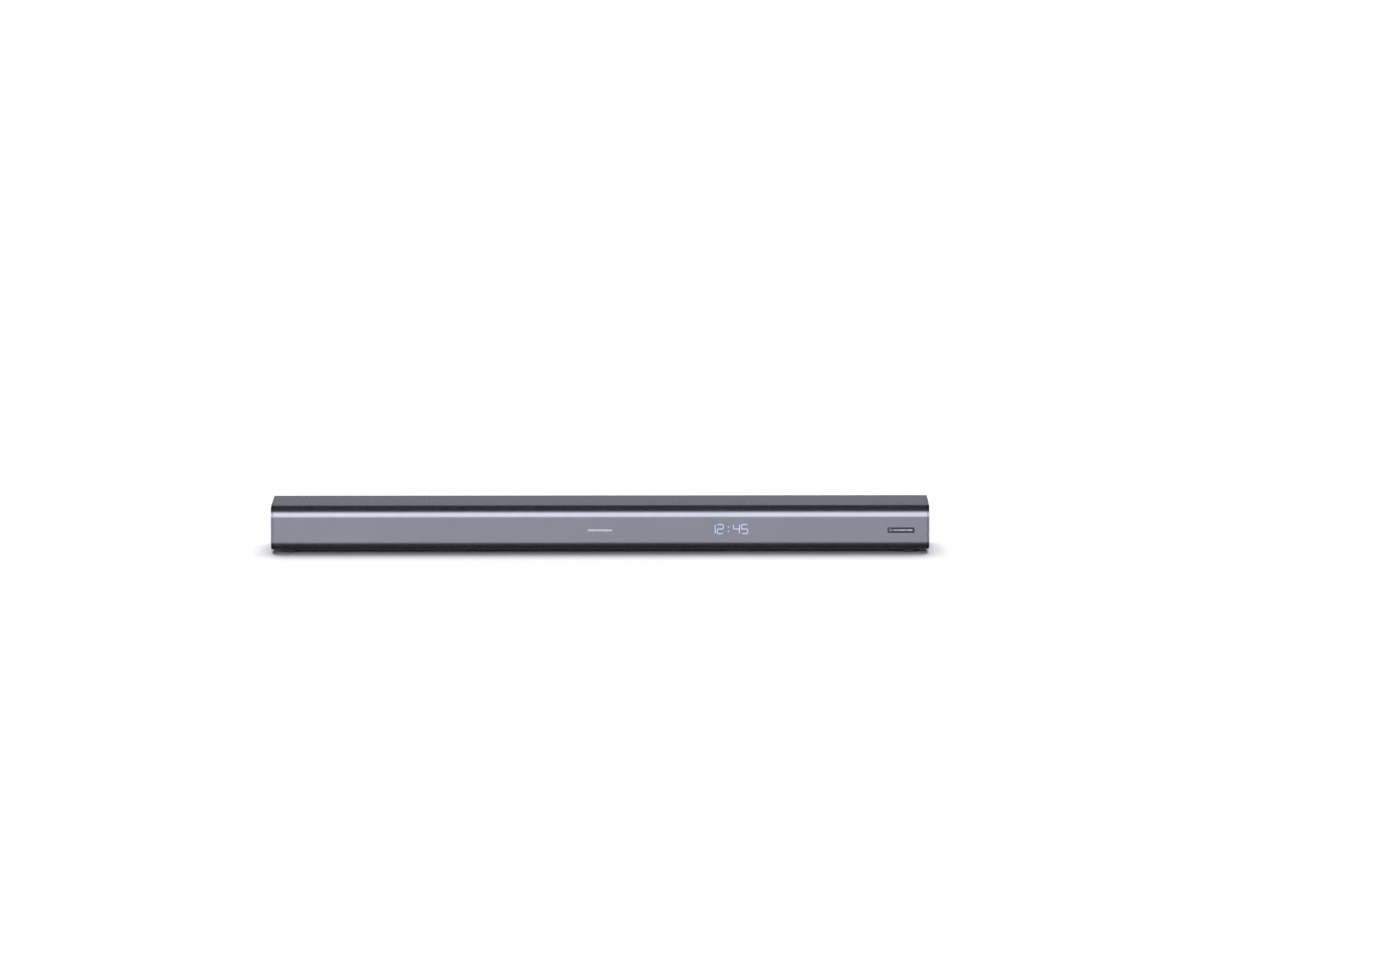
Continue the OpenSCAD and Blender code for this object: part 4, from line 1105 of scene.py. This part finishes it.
@dataclass
class FrontMarks:
    """The plain emblem, the small plaque and the lit figures on the grille."""

    face: float = -52.2 * MM
    proud: float = 0.3 * MM
    mark_z: float = 34.2 * MM
    emblem: tuple[float, float] = (36.0 * MM, 3.2 * MM)
    plaque: tuple[float, float] = (39.0 * MM, 8.2 * MM)
    plaque_x: float = 434.0 * MM
    display_x: float = 185.0 * MM
    display_z: float = 36.0 * MM
    figure_pitch: float = 11.7 * MM
    figure_size: tuple[float, float] = (8.6 * MM, 13.2 * MM)
    stroke: float = 1.5 * MM
    glow_proud: float = 0.04 * MM
    text: str = "12:45"

    SEGMENTS = {"0": "abcdef", "1": "bc", "2": "abged", "4": "fgbc", "5": "afgcd"}

    def build(self) -> None:
        """Build and dress the marks."""
        fit(self._emblem(), Finish.EMBLEM, "badge", CABINET, "front_badges")
        fit(self._plate(), Finish.PLAQUE, "badge")
        fit(self._plate_marks(), Finish.PLAQUE_MARK, "badge")
        figures = fit(self._figures(), Finish.LIT_GRILLE, "display")
        Shells().lay_uv(figures)

    def _plate_blank(self, name: str, x: float, size: tuple[float, float], radius: float,
                     proud: float) -> Piece:
        """A plate with round corners on the front face."""
        wide, tall = size
        piece = Bench.block(name, (x - wide / 2, self.face - proud, self.mark_z - tall / 2),
                            (x + wide / 2, self.face, self.mark_z + tall / 2))
        Bench.round_edges(piece, radius, 8, lambda a, b: abs(a.y - b.y) > HAIR)
        return piece

    def _emblem(self) -> Piece:
        """A slim bar with rolled edges."""
        piece = self._plate_blank("emblem_bar", 0.0, self.emblem, 1.4 * MM, self.proud)
        Bench.edit(piece)
        Bench.faces(piece, lambda c, n: n.y < -FACING)
        bpy.ops.mesh.bevel(offset=0.22 * MM, segments=3, affect="EDGES")
        Bench.done()
        Bench.smooth(piece, 40.0)
        return piece

    def _plate(self) -> Piece:
        """The plaque: a raised rim round a sunken field."""
        piece = self._plate_blank("plaque_plate", self.plaque_x, self.plaque, 1.6 * MM, self.proud)
        Bench.edit(piece)
        Bench.faces(piece, lambda c, n: n.y < -FACING)
        bpy.ops.mesh.bevel(offset=0.12 * MM, segments=2, affect="EDGES")
        Bench.faces(piece, lambda c, n: n.y < -FACING and c.y < self.face - self.proud + HAIR)
        bpy.ops.mesh.inset(thickness=0.7 * MM)
        bpy.ops.mesh.inset(thickness=0.12 * MM)
        bpy.ops.transform.translate(value=(0.0, 0.14 * MM, 0.0))
        Bench.done()
        Bench.smooth(piece, 30.0)
        return piece

    def _plate_marks(self) -> Piece:
        """Abstract marks in the plaque: a ring and a row of short bars."""
        field = self.face - self.proud + 0.14 * MM
        left = self.plaque_x - self.plaque[0] / 2
        pieces = [Bench.ring("mark", (left + 4.6 * MM, field, self.mark_z), 1.8 * MM, 0.32 * MM, Axis.Y, 32)]
        Bench.flatten(pieces[0], 0.35, field)
        cursor = left + 8.6 * MM
        for wide, tall in ((5.2, 1.0), (3.0, 1.0), (6.2, 1.0), (2.4, 1.0), (6.6, 1.0)):
            low = (cursor, field - 0.1 * MM, self.mark_z - tall * MM)
            high = (cursor + wide * MM, field + 0.05 * MM, self.mark_z + tall * MM)
            bar = Bench.block("mark", low, high)
            Bench.soften(bar, 0.12 * MM, 2)
            pieces.append(bar)
            cursor += (wide + 1.0) * MM
        piece = Bench.join("plaque_marks", pieces)
        Bench.smooth(piece, 40.0)
        return piece

    def _segment(self, x: float, z: float, length: float, upright: bool) -> Piece:
        """One lit stroke with pointed ends, flat on the grille."""
        radius = self.stroke / math.sqrt(3.0)
        piece = Bench.drum("stroke", (0.0, self.face - self.glow_proud / 2, 0.0), radius,
                           self.glow_proud, Axis.Y, 6)
        Bench.turn(piece, math.radians(30.0), "Y", (0.0, self.face, 0.0))
        for side in (-1.0, 1.0):
            Bench.edit(piece, "VERT")
            Bench.done()
            for vertex in piece.data.vertices:
                vertex.select = vertex.co.x * side > HAIR
            bpy.ops.object.mode_set(mode="EDIT")
            bpy.ops.transform.translate(value=(side * (length / 2 - radius), 0.0, 0.0))
            Bench.done()
        if upright:
            Bench.turn(piece, math.pi / 2, "Y", (0.0, self.face, 0.0))
        piece.location = (x, 0.0, z)
        Bench.pick(piece)
        bpy.ops.object.transform_apply(location=True, rotation=True, scale=True)
        return piece

    def _figures(self) -> Piece:
        """The lit figures of the clock, seen through the perforations."""
        wide, tall = self.figure_size
        half, gap = tall / 2, 0.25 * MM
        strokes = {
            "a": (0.0, half, False), "g": (0.0, 0.0, False), "d": (0.0, -half, False),
            "b": (wide / 2, half / 2, True), "c": (wide / 2, -half / 2, True),
            "f": (-wide / 2, half / 2, True), "e": (-wide / 2, -half / 2, True)}
        pieces = []
        for number, figure in enumerate(self.text):
            x = self.display_x + (number - (len(self.text) - 1) / 2) * self.figure_pitch
            if figure == ":":
                for z in (-half / 2, half / 2):
                    dot = Bench.drum("dot", (x, self.face - self.glow_proud / 2, self.display_z + z),
                                     self.stroke * 0.75, self.glow_proud, Axis.Y, 20)
                    pieces.append(dot)
                continue
            for letter in self.SEGMENTS[figure]:
                across, up, upright = strokes[letter]
                length = (half if upright else wide) - gap
                pieces.append(self._segment(x + across, self.display_z + up, length, upright))
        piece = Bench.join("display_figures", pieces)
        Bench.tidy(piece, True)
        return piece


# ---------------------------------------------------------------- the feet


@dataclass
class Feet:
    """Four round rubber feet with a grooved tread."""

    radius: float = 10.0 * MM
    height: float = 5.0 * MM

    def build(self) -> None:
        """Build and dress the four feet."""
        for name in ("foot_front_left", "foot_front_right", "foot_rear_left", "foot_rear_right"):
            low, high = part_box(name)
            middle = (low + high) / 2
            fit(self._foot(name + "_pad", middle.x, middle.y), Finish.FOOT, "foot_rubber", CABINET, name)

    def _foot(self, name: str, x: float, y: float) -> Piece:
        """One foot, turned from a drum: a soft rim and a ringed tread."""
        piece = Bench.drum(name, (x, y, self.height / 2), self.radius, self.height, Axis.Z, 64)
        Bench.edit(piece)
        Bench.faces(piece, lambda c, n: n.z < -FACING)
        bpy.ops.mesh.bevel(offset=0.7 * MM, segments=4, affect="EDGES")
        Bench.faces(piece, lambda c, n: n.z < -FACING and c.z < HAIR)
        for ring in range(2):
            bpy.ops.mesh.inset(thickness=1.6 * MM)
            bpy.ops.mesh.inset(thickness=0.15 * MM)
            bpy.ops.transform.translate(value=(0.0, 0.0, 0.6 * MM))
            bpy.ops.mesh.inset(thickness=1.0 * MM)
            bpy.ops.mesh.inset(thickness=0.15 * MM)
            bpy.ops.transform.translate(value=(0.0, 0.0, -0.6 * MM))
        Bench.faces(piece, lambda c, n: n.z > FACING)
        bpy.ops.mesh.inset(thickness=0.6 * MM)
        Bench.done()
        Bench.smooth(piece, 35.0)
        return piece


# ---------------------------------------------------------------- the housing and its rear


@dataclass(frozen=True)
class Bay:
    """One recess in the rear, open to the rear and downwards.

    Attributes:
        name: What it holds.
        low_x: Its left side.
        high_x: Its right side.
    """

    name: str
    low_x: float
    high_x: float


BAYS = (Bay("socket_bay", -120.0 * MM, 40.0 * MM), Bay("mains_bay", 190.0 * MM, 240.0 * MM))


@dataclass
class Housing:
    """The floor tray and the rear moulding, which meet at a seam along the fronts of the bays."""

    half_width: float = 471.8 * MM
    base: float = 5.0 * MM
    floor: float = 7.5 * MM
    rear: float = 52.5 * MM
    inner_rear: float = 50.0 * MM
    radius: float = 3.0 * MM
    wall_top: float = 58.8 * MM
    lip_y: float = -39.7 * MM
    flange_y: float = -34.5 * MM
    lip_z: float = 5.8 * MM
    seam_front: float = 28.15 * MM
    seam_rear: float = 28.35 * MM
    bay_wall: float = 2.2 * MM
    bay_top: float = 45.2 * MM
    vent_middles: tuple[float, ...] = (-160.0 * MM, 280.0 * MM)
    vent_size: tuple[float, float] = (2.2 * MM, 14.0 * MM)
    vent_low: float = 33.8 * MM
    tray_screws: tuple[tuple[float, float], ...] = (
        *((x * MM, -27.9 * MM) for x in (-377.5, -200.0, 0.0, 200.0, 377.5)),
        *((x * MM, -12.9 * MM) for x in (-461.0, 461.0)))
    rear_screws: tuple[tuple[float, float], ...] = ((-461.0 * MM, 32.5 * MM), (461.0 * MM, 32.5 * MM))
    vent_pitch: float = 5.0 * MM
    vents_each_side: int = 5
    well_radius: float = 3.0 * MM
    well_ledge: float = 1.4 * MM
    insert_x: float = 350.0 * MM
    insert_z: float = 37.0 * MM
    insert_radius: float = 4.03 * MM
    insert_depth: float = 12.0 * MM
    tongue_low: Point = (-463.8 * MM, 48.3 * MM, 54.8 * MM)
    tongue_high: Point = (463.8 * MM, 49.9 * MM, 62.6 * MM)

    def build(self) -> None:
        """Build the two mouldings and dress them as one node."""
        piece = Bench.join("rear_housing_shell", [self._tray(), self._rear()])
        Bench.smooth(piece, 35.0)
        fit(piece, Finish.HOUSING, "housing_plastic", CABINET, "rear_housing")

    def _tray(self) -> Piece:
        """The flat floor with its stepped lip behind the grille's flange."""
        trace = Trace("floor_tray", -self.half_width, (self.lip_y, self.lip_z))
        for y, z in ((self.flange_y, self.lip_z), (self.flange_y, self.base), (self.seam_front, self.base),
                     (self.seam_front, self.floor), (self.lip_y, self.floor)):
            trace.line(y, z)
        piece = trace.solid(2 * self.half_width)
        Bench.cut(piece, [self._screw_wells(self.tray_screws)])
        Bench.soften(piece, 0.25 * MM, 2, 40.0)
        return piece

    def _rear(self) -> Piece:
        """The back wall and the floor behind the seam, with the bays, the vents and the holes."""
        trace = Trace("rear_moulding", -self.half_width, (self.seam_rear, self.base))
        trace.line(self.rear - self.radius, self.base)
        trace.arc(self.rear - self.radius, self.base + self.radius, 90.0, 8)
        for y, z in ((self.rear, self.wall_top), (self.inner_rear, self.wall_top),
                     (self.inner_rear, self.floor), (self.seam_rear, self.floor)):
            trace.line(y, z)
        piece = trace.solid(2 * self.half_width)
        notches = [Bench.block("notch", (bay.low_x - self.bay_wall, self.seam_rear - MM, 0.0),
                               (bay.high_x + self.bay_wall, self.rear + MM, self.bay_top))
                   for bay in BAYS]
        Bench.cut(piece, notches)
        Bench.cut(piece, [self._vents()])
        holes = [Bench.drum("hole", (side * self.insert_x, self.rear, self.insert_z), self.insert_radius,
                            self.insert_depth, Axis.Y) for side in (-1.0, 1.0)]
        Bench.cut(piece, [Bench.join("holes", holes), self._screw_wells(self.rear_screws)])
        Bench.soften(piece, 0.3 * MM, 2, 40.0)
        tongue = Bench.block("tongue", self.tongue_low, self.tongue_high)
        Bench.soften(tongue, 0.3 * MM)
        return Bench.join("rear_moulding", [piece, tongue])

    def _vents(self) -> Piece:
        """The cutter of both rows of round-ended slots."""
        wide, tall = self.vent_size
        slots = []
        for middle in self.vent_middles:
            for step in range(-self.vents_each_side, self.vents_each_side + 1):
                x = middle + step * self.vent_pitch
                slot = Bench.block("slot", (x - wide / 2, self.inner_rear - MM, self.vent_low),
                                   (x + wide / 2, self.rear + MM, self.vent_low + tall))
                Bench.round_edges(slot, wide * 0.45, 5, lambda a, b: abs(a.y - b.y) > MM)
                slots.append(slot)
        return Bench.join("slots", slots)

    def _screw_wells(self, places: Iterable[tuple[float, float]]) -> Piece:
        """The cutter of the counterbored screw holes at some places."""
        pieces = []
        for x, y in places:
            well = Bench.drum("well", (x, y, self.base), self.well_radius, 3.0 * MM, Axis.Z, 40)
            Bench.edit(well)
            Bench.faces(well, lambda c, n: n.z > FACING)
            bpy.ops.mesh.inset(thickness=self.well_ledge)
            Bench.push((0.0, 0.0, 3.0 * MM))
            Bench.done()
            pieces.append(well)
        return Bench.join("wells", pieces)


@dataclass
class BayLiners:
    """The hood of each bay and the windowed plates at its inner end."""

    base: float = 5.0 * MM
    low_y: float = 28.5 * MM
    plate_y: float = 30.5 * MM
    hood_y: float = 30.6 * MM
    rear: float = 52.5 * MM
    wall: float = 2.0 * MM
    roof: float = 43.0 * MM
    top: float = 45.0 * MM
    split_x: float = 2.0 * MM
    split: float = 0.2 * MM
    jack_window: Point = (14.0 * MM, 28.5 * MM, 19.6 * MM)
    jack_window_radius: float = 3.8 * MM
    mains_window: Point = (215.0 * MM, 24.4 * MM, 16.4 * MM)
    window_low: float = 14.9 * MM
    flange_low: Point = (3.0 * MM, 31.5 * MM, 7.5 * MM)
    flange_high: tuple[float, float] = (48.0 * MM, 8.7 * MM)

    def build(self) -> None:
        """Build and dress the liners as one node."""
        pieces = [self._hood(bay) for bay in BAYS]
        socket_bay, mains_bay = BAYS
        low, high = socket_bay.low_x - self.wall, socket_bay.high_x + self.wall
        pieces.append(self._plate(low, self.split_x - self.split / 2, self._square_windows()))
        pieces.append(self._plate(self.split_x + self.split / 2, high, [
            Bench.drum("window", self.jack_window, self.jack_window_radius, 8 * MM, Axis.Y)]))
        pieces.append(self._plate(mains_bay.low_x - self.wall, mains_bay.high_x + self.wall, [
            self._window(*self.mains_window)]))
        piece = Bench.join("bay_liner_shells", pieces)
        Bench.smooth(piece, 35.0)
        fit(piece, Finish.HOUSING, "housing_plastic", CABINET, "bay_liners")

    def _window(self, x: float, wide: float, tall: float) -> Piece:
        """The cutter of one window that stands on the boards' top."""
        return Bench.block("window", (x - wide / 2, self.low_y - MM, self.window_low),
                           (x + wide / 2, self.plate_y + MM, self.window_low + tall))

    def _square_windows(self) -> list[Piece]:
        """The cutters for the three video sockets, the data socket and the optical socket."""
        sizes = [(x * MM, 15.4 * MM, 6.0 * MM) for x in (-102.0, -79.0, -56.0)]
        sizes += [(-32.0 * MM, 13.6 * MM, 6.2 * MM), (-9.0 * MM, 10.2 * MM, 10.6 * MM)]
        return [Bench.join("windows", [self._window(*size) for size in sizes])]

    def _plate(self, low_x: float, high_x: float, windows: list[Piece]) -> Piece:
        """One plate, cut for its sockets and softened."""
        piece = Bench.block("plate", (low_x, self.low_y, self.base), (high_x, self.plate_y, self.top))
        Bench.cut(piece, windows)
        Bench.soften(piece, 0.22 * MM, 2, 40.0)
        return piece

    def _hood(self, bay: Bay) -> Piece:
        """Two side walls and a roof, open to the rear and downwards, with a floor flange at each side."""
        low, high = bay.low_x - self.wall, bay.high_x + self.wall
        piece = Bench.block("hood", (low, self.hood_y, self.base), (high, self.rear, self.top))
        space = Bench.block("space", (bay.low_x, self.hood_y - MM, 0.0),
                            (bay.high_x, self.rear + MM, self.roof))
        Bench.round_edges(space, 1.5 * MM, 5,
                          lambda a, b: min(a.z, b.z) > self.roof - HAIR and abs(a.y - b.y) > MM)
        Bench.cut(piece, [space])
        Bench.soften(piece, 0.35 * MM, 3, 40.0)
        flanges = []
        wide, flange_y, flange_z = self.flange_low
        for x in (low - wide, high):
            flange = Bench.block("flange", (x, flange_y, flange_z), (x + wide, *self.flange_high))
            Bench.soften(flange, 0.2 * MM)
            flanges.append(flange)
        return Bench.join("hood", [piece, *flanges])


@dataclass
class Sockets:
    """The sockets in the bays, with their tongues, contacts and pins."""

    board: float = 15.1 * MM
    mouth: float = 31.0 * MM
    video_xs: tuple[float, ...] = (-102.0 * MM, -79.0 * MM, -56.0 * MM)
    data_x: float = -32.0 * MM
    optical_x: float = -9.0 * MM
    jack_x: float = 14.0 * MM
    jack_z: float = 19.6 * MM
    mains_x: float = 215.0 * MM
    mains_z: float = 23.1 * MM
    inlet_radius: float = 4.3 * MM
    inlet_pitch: float = 8.6 * MM
    inlet_depth: float = 14.0 * MM
    pin_radius: float = 1.18 * MM
    pin_length: float = 10.5 * MM
    barrel_radius: float = 3.6 * MM
    bore_radius: float = 1.8 * MM
    flap_roll: float = 0.4 * MM
    flap_pin: float = 0.3 * MM

    def build(self) -> None:
        """Build and dress every socket."""
        shells = [self._video_shell(x) for x in self.video_xs] + [self._data_shell()]
        metal = Bench.join("data_socket_shells", shells)
        Bench.smooth(metal, 35.0)
        fit(metal, Finish.SOCKET_METAL, "socket_metal", CABINET, "data_sockets")
        fit(self._tongues(), Finish.SOCKET_PLASTIC, "socket_plastic")
        fit(self._contacts(), Finish.CONTACT, "socket_metal")
        fit(self._optical(), Finish.SOCKET_PLASTIC, "socket_plastic", CABINET, "optical_socket")
        fit(self._flap(), Finish.SOCKET_PLASTIC, "socket_plastic", "optical_flap", "optical_shutter")
        fit(self._jack(), Finish.SOCKET_PLASTIC, "socket_plastic", CABINET, "aux_socket")
        fit(self._jack_ring(), Finish.SOCKET_METAL, "socket_metal")
        fit(self._inlet(), Finish.SOCKET_PLASTIC, "socket_plastic", CABINET, "ac_inlet")
        fit(self._pins(), Finish.SOCKET_METAL, "socket_metal")

    def _box(self, name: str, x: float, size: Point, back: float = 0.0,
             rise: float = 0.0) -> Piece:
        """A block of a width, depth and height that ends at the mouth, less back, and stands on the board."""
        wide, deep, tall = size
        return Bench.block(name, (x - wide / 2, self.mouth - back - deep, self.board + rise),
                           (x + wide / 2, self.mouth - back, self.board + rise + tall))

    def _video_shell(self, x: float) -> Piece:
        """A drawn steel shell whose mouth narrows towards the board."""
        piece = self._box("video_shell", x, (15 * MM, 12 * MM, 5.6 * MM))
        cavity = self._box("cavity", x, (14 * MM, 10 * MM, 4.6 * MM), -MM, 0.5 * MM)
        Bench.edit(cavity, "EDGE")
        Bench.edges(cavity, lambda a, b: max(a.z, b.z) < self.board + MM and abs(a.y - b.y) > MM)
        bpy.ops.mesh.bevel(offset=1.9 * MM, segments=2, affect="EDGES")
        Bench.edges(cavity, lambda a, b: min(a.z, b.z) > self.board + 5 * MM and abs(a.y - b.y) > MM)
        bpy.ops.mesh.bevel(offset=0.5 * MM, segments=3, affect="EDGES")
        Bench.done()
        Bench.cut(piece, [cavity])
        Bench.soften(piece, 0.16 * MM, 2, 40.0)
        return piece

    def _data_shell(self) -> Piece:
        """The wider, square shell of the data socket."""
        piece = self._box("data_shell", self.data_x, (13.2 * MM, 14 * MM, 5.8 * MM))
        cavity = self._box("cavity", self.data_x, (12.5 * MM, 13 * MM, 5.12 * MM), -MM, 0.34 * MM)
        Bench.cut(piece, [cavity])
        Bench.soften(piece, 0.12 * MM, 2, 40.0)
        return piece

    def _tongues(self) -> Piece:
        """The moulded tongues that carry the contacts."""
        tongues = [self._box("tongue", x, (11.6 * MM, 7.5 * MM, MM), 2.0 * MM, 2.7 * MM)
                   for x in self.video_xs]
        tongues.append(self._box("tongue", self.data_x, (11 * MM, 9.5 * MM, 1.8 * MM), 3.0 * MM, 3.2 * MM))
        for tongue in tongues:
            Bench.soften(tongue, 0.2 * MM)
        piece = Bench.join("socket_tongues", tongues)
        Bench.smooth(piece, 35.0)
        return piece

    def _contacts(self) -> Piece:
        """Gold strips above and below each tongue."""
        strips = []
        for x in self.video_xs:
            for rise, count in ((3.68 * MM, 10), (2.62 * MM, 9)):
                for number in range(count):
                    across = (number - (count - 1) / 2) * MM
                    strips.append(self._box("strip", x + across, (0.5 * MM, 6.2 * MM, 0.1 * MM), 2.5 * MM,
                                            rise))
        for across in (-3.5, -1.0, 1.0, 3.5):
            strips.append(self._box("strip", self.data_x + across * MM, (MM, 8 * MM, 0.12 * MM), 3.6 * MM,
                                    3.12 * MM))
        for strip in strips:
            Bench.soften(strip, 0.03 * MM, 1)
        return Bench.join("socket_contacts", strips)

    def _optical(self) -> Piece:
        """The optical socket: a square mouth with two cut corners below."""
        piece = self._box("optical_body", self.optical_x, (9.8 * MM, 13.5 * MM, 10.2 * MM))
        mouth = self._box("mouth", self.optical_x, (8.4 * MM, 11 * MM, 8.6 * MM), -MM, 0.8 * MM)
        Bench.round_edges(mouth, 1.2 * MM, 1,
                          lambda a, b: max(a.z, b.z) < self.board + MM and abs(a.y - b.y) > MM)
        Bench.cut(piece, [mouth])
        Bench.soften(piece, 0.2 * MM, 2, 40.0)
        Bench.smooth(piece, 35.0)
        return piece

    def _flap(self) -> Piece:
        """The flap behind the optical mouth, rolled round its two pins, with cut lower corners."""
        low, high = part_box("optical_shutter")
        middle_y, hinge_z = (low.y + high.y) / 2, high.z - self.flap_roll
        wide = 4.0 * MM
        hinge = (self.optical_x, middle_y, hinge_z)
        piece = Bench.block("optical_flap_plate", (self.optical_x - wide, middle_y - self.flap_roll, low.z),
                            (self.optical_x + wide, middle_y + self.flap_roll, hinge_z))
        Bench.round_edges(piece, 1.5 * MM, 1,
                          lambda a, b: max(a.z, b.z) < low.z + HAIR and abs(a.y - b.y) > 0.1 * MM)
        roll = Bench.drum("roll", hinge, self.flap_roll, 2 * wide, Axis.X, 24)
        pin = Bench.drum("pin", hinge, self.flap_pin, 2 * wide + 1.2 * MM, Axis.X, 24)
        Bench.cut(piece, [roll, pin], "UNION")
        Bench.soften(piece, 0.08 * MM, 2, 50.0)
        Bench.smooth(piece, 35.0)
        return piece

    def _jack(self) -> Piece:
        """The round jack: a moulded body, its barrel through the plate and the bore."""
        piece = Bench.block("jack_body", (self.jack_x - 5.5 * MM, 16.3 * MM, self.board),
                            (self.jack_x + 5.5 * MM, 28.3 * MM, self.board + 9 * MM))
        length = self.mouth - 27.0 * MM
        barrel = Bench.drum("barrel", (self.jack_x, self.mouth - length / 2, self.jack_z), self.barrel_radius,
                            length, Axis.Y)
        Bench.cut(piece, [barrel], "UNION")
        bore = Bench.drum("bore", (self.jack_x, self.mouth - 6.5 * MM, self.jack_z), self.bore_radius,
                          15 * MM, Axis.Y)
        Bench.cut(piece, [bore])
        Bench.soften(piece, 0.2 * MM, 2, 40.0)
        Bench.smooth(piece, 35.0)
        return piece

    def _jack_ring(self) -> Piece:
        """A nickel washer let into the barrel's mouth."""
        piece = Bench.ring("jack_ring", (self.jack_x, self.mouth - 0.05 * MM, self.jack_z), 2.35 * MM,
                           0.42 * MM, Axis.Y, 56)
        Bench.flatten(piece, 0.45, self.mouth)
        Bench.smooth(piece, 60.0)
        return piece

    def _inlet(self) -> Piece:
        """The mains inlet: a moulded block with a deep stadium well."""
        piece = self._box("inlet_body", self.mains_x, (24 * MM, 22 * MM, 16 * MM))
        radius = self.inlet_radius
        half = self.inlet_pitch / 2 + radius
        well = Bench.block("well",
                           (self.mains_x - half, self.mouth - self.inlet_depth, self.mains_z - radius),
                           (self.mains_x + half, self.mouth + MM, self.mains_z + radius))
        Bench.round_edges(well, radius * 0.999, 14, lambda a, b: abs(a.y - b.y) > MM)
        Bench.cut(piece, [well])
        Bench.soften(piece, 0.4 * MM, 3, 40.0)
        Bench.smooth(piece, 35.0)
        return piece

    def _pins(self) -> Piece:
        """Two nickel pins with rounded tips."""
        pins = []
        for side in (-1.0, 1.0):
            middle = (self.mains_x + side * self.inlet_pitch / 2, self.mouth - 9.25 * MM, self.mains_z)
            pin = Bench.drum("pin", middle, self.pin_radius, self.pin_length, Axis.Y, 32)
            Bench.edit(pin)
            Bench.faces(pin, lambda c, n: n.y > FACING)
            bpy.ops.mesh.bevel(offset=0.7 * MM, segments=5, affect="EDGES")
            Bench.done()
            pins.append(pin)
        piece = Bench.join("inlet_pins", pins)
        Bench.smooth(piece, 40.0)
        return piece


@dataclass
class WallInserts:
    """Two threaded brass inserts for the wall bracket's bolts."""

    offset: float = 350.0 * MM
    height: float = 37.0 * MM
    rear: float = 52.5 * MM
    length: float = 12.0 * MM
    radius: float = 4.0 * MM
    bore: float = 2.0 * MM
    thread_pitch: float = 0.8 * MM

    def build(self) -> None:
        """Build and dress both inserts as one node."""
        piece = Bench.join("wall_insert_bushes", [self._bush(side * self.offset) for side in (-1.0, 1.0)])
        Bench.smooth(piece, 35.0)
        fit(piece, Finish.BRASS, "insert_brass", CABINET, "wall_inserts")

    def _bush(self, x: float) -> Piece:
        """One bush: a turned sleeve, chamfered at its mouth, with the thread's ridges in its bore."""
        middle = self.rear - self.length / 2
        piece = Bench.drum("bush", (x, middle, self.height), self.radius, self.length, Axis.Y, 64)
        bore = Bench.drum("bore", (x, middle, self.height), self.bore, self.length + 2 * MM, Axis.Y, 48)
        Bench.cut(piece, [bore])
        Bench.soften(piece, 0.35 * MM, 2, 40.0)
        ridges = []
        y = self.rear - self.thread_pitch
        while y > self.rear - self.length + self.thread_pitch:
            ridges.append(Bench.ring("ridge", (x, y, self.height), self.bore, 0.17 * MM, Axis.Y, 40))
            y -= self.thread_pitch
        return Bench.join("bush", [piece, *ridges])


# ---------------------------------------------------------------- what the CAD already shapes


def dress_frame() -> None:
    """Give every CAD node that stays the finish of its material slot."""
    by_slot = {
        "housing_plastic": Finish.HOUSING, "cover_metal": Finish.COVER, "grille_metal": Finish.GRILLE,
        "grille_cloth": Finish.CLOTH, "baffle_plastic": Finish.BAFFLE, "cap_plastic": Finish.CAP,
        "badge": Finish.EMBLEM, "foot_rubber": Finish.FOOT, "basket_metal": Finish.BASKET,
        "surround_rubber": Finish.SURROUND, "cone_paper": Finish.CONE, "magnet_ferrite": Finish.FERRITE,
        "pole_steel": Finish.POLE, "key_plastic": Finish.KEY, "plunger_plastic": Finish.PLUNGER,
        "pcb": Finish.BOARD, "switch_metal": Finish.TIN, "heatsink": Finish.HEATSINK,
        "transformer": Finish.TRANSFORMER, "capacitor": Finish.CAPACITOR, "display": Finish.DISPLAY,
        "socket_metal": Finish.SOCKET_METAL, "socket_plastic": Finish.SOCKET_PLASTIC,
        "insert_brass": Finish.BRASS, "screw_steel": Finish.SCREW, "wire": Finish.LEADS}
    for part in frame["record"]["subparts"]:
        node = frame["nodes"].get(part["node"])
        if node is None or node.hide_render:
            continue
        node.data.materials.clear()
        node.data.materials.append(by_slot[part["material_slot"]].material())
        log.info("%s keeps its CAD shape, in %s", node.name, by_slot[part["material_slot"]].value.name)


def main() -> None:
    """Build the studio, then the bar from its skin inwards."""
    logging.basicConfig(level=logging.INFO, format="%(name)s: %(message)s")
    Studio().build()
    for assembly in (Shells(), KeyPad(), FrontMarks(), Feet(), Housing(), BayLiners(), Sockets(),
                     WallInserts()):
        assembly.build()
    dress_frame()


if __name__ == "__main__":
    main()
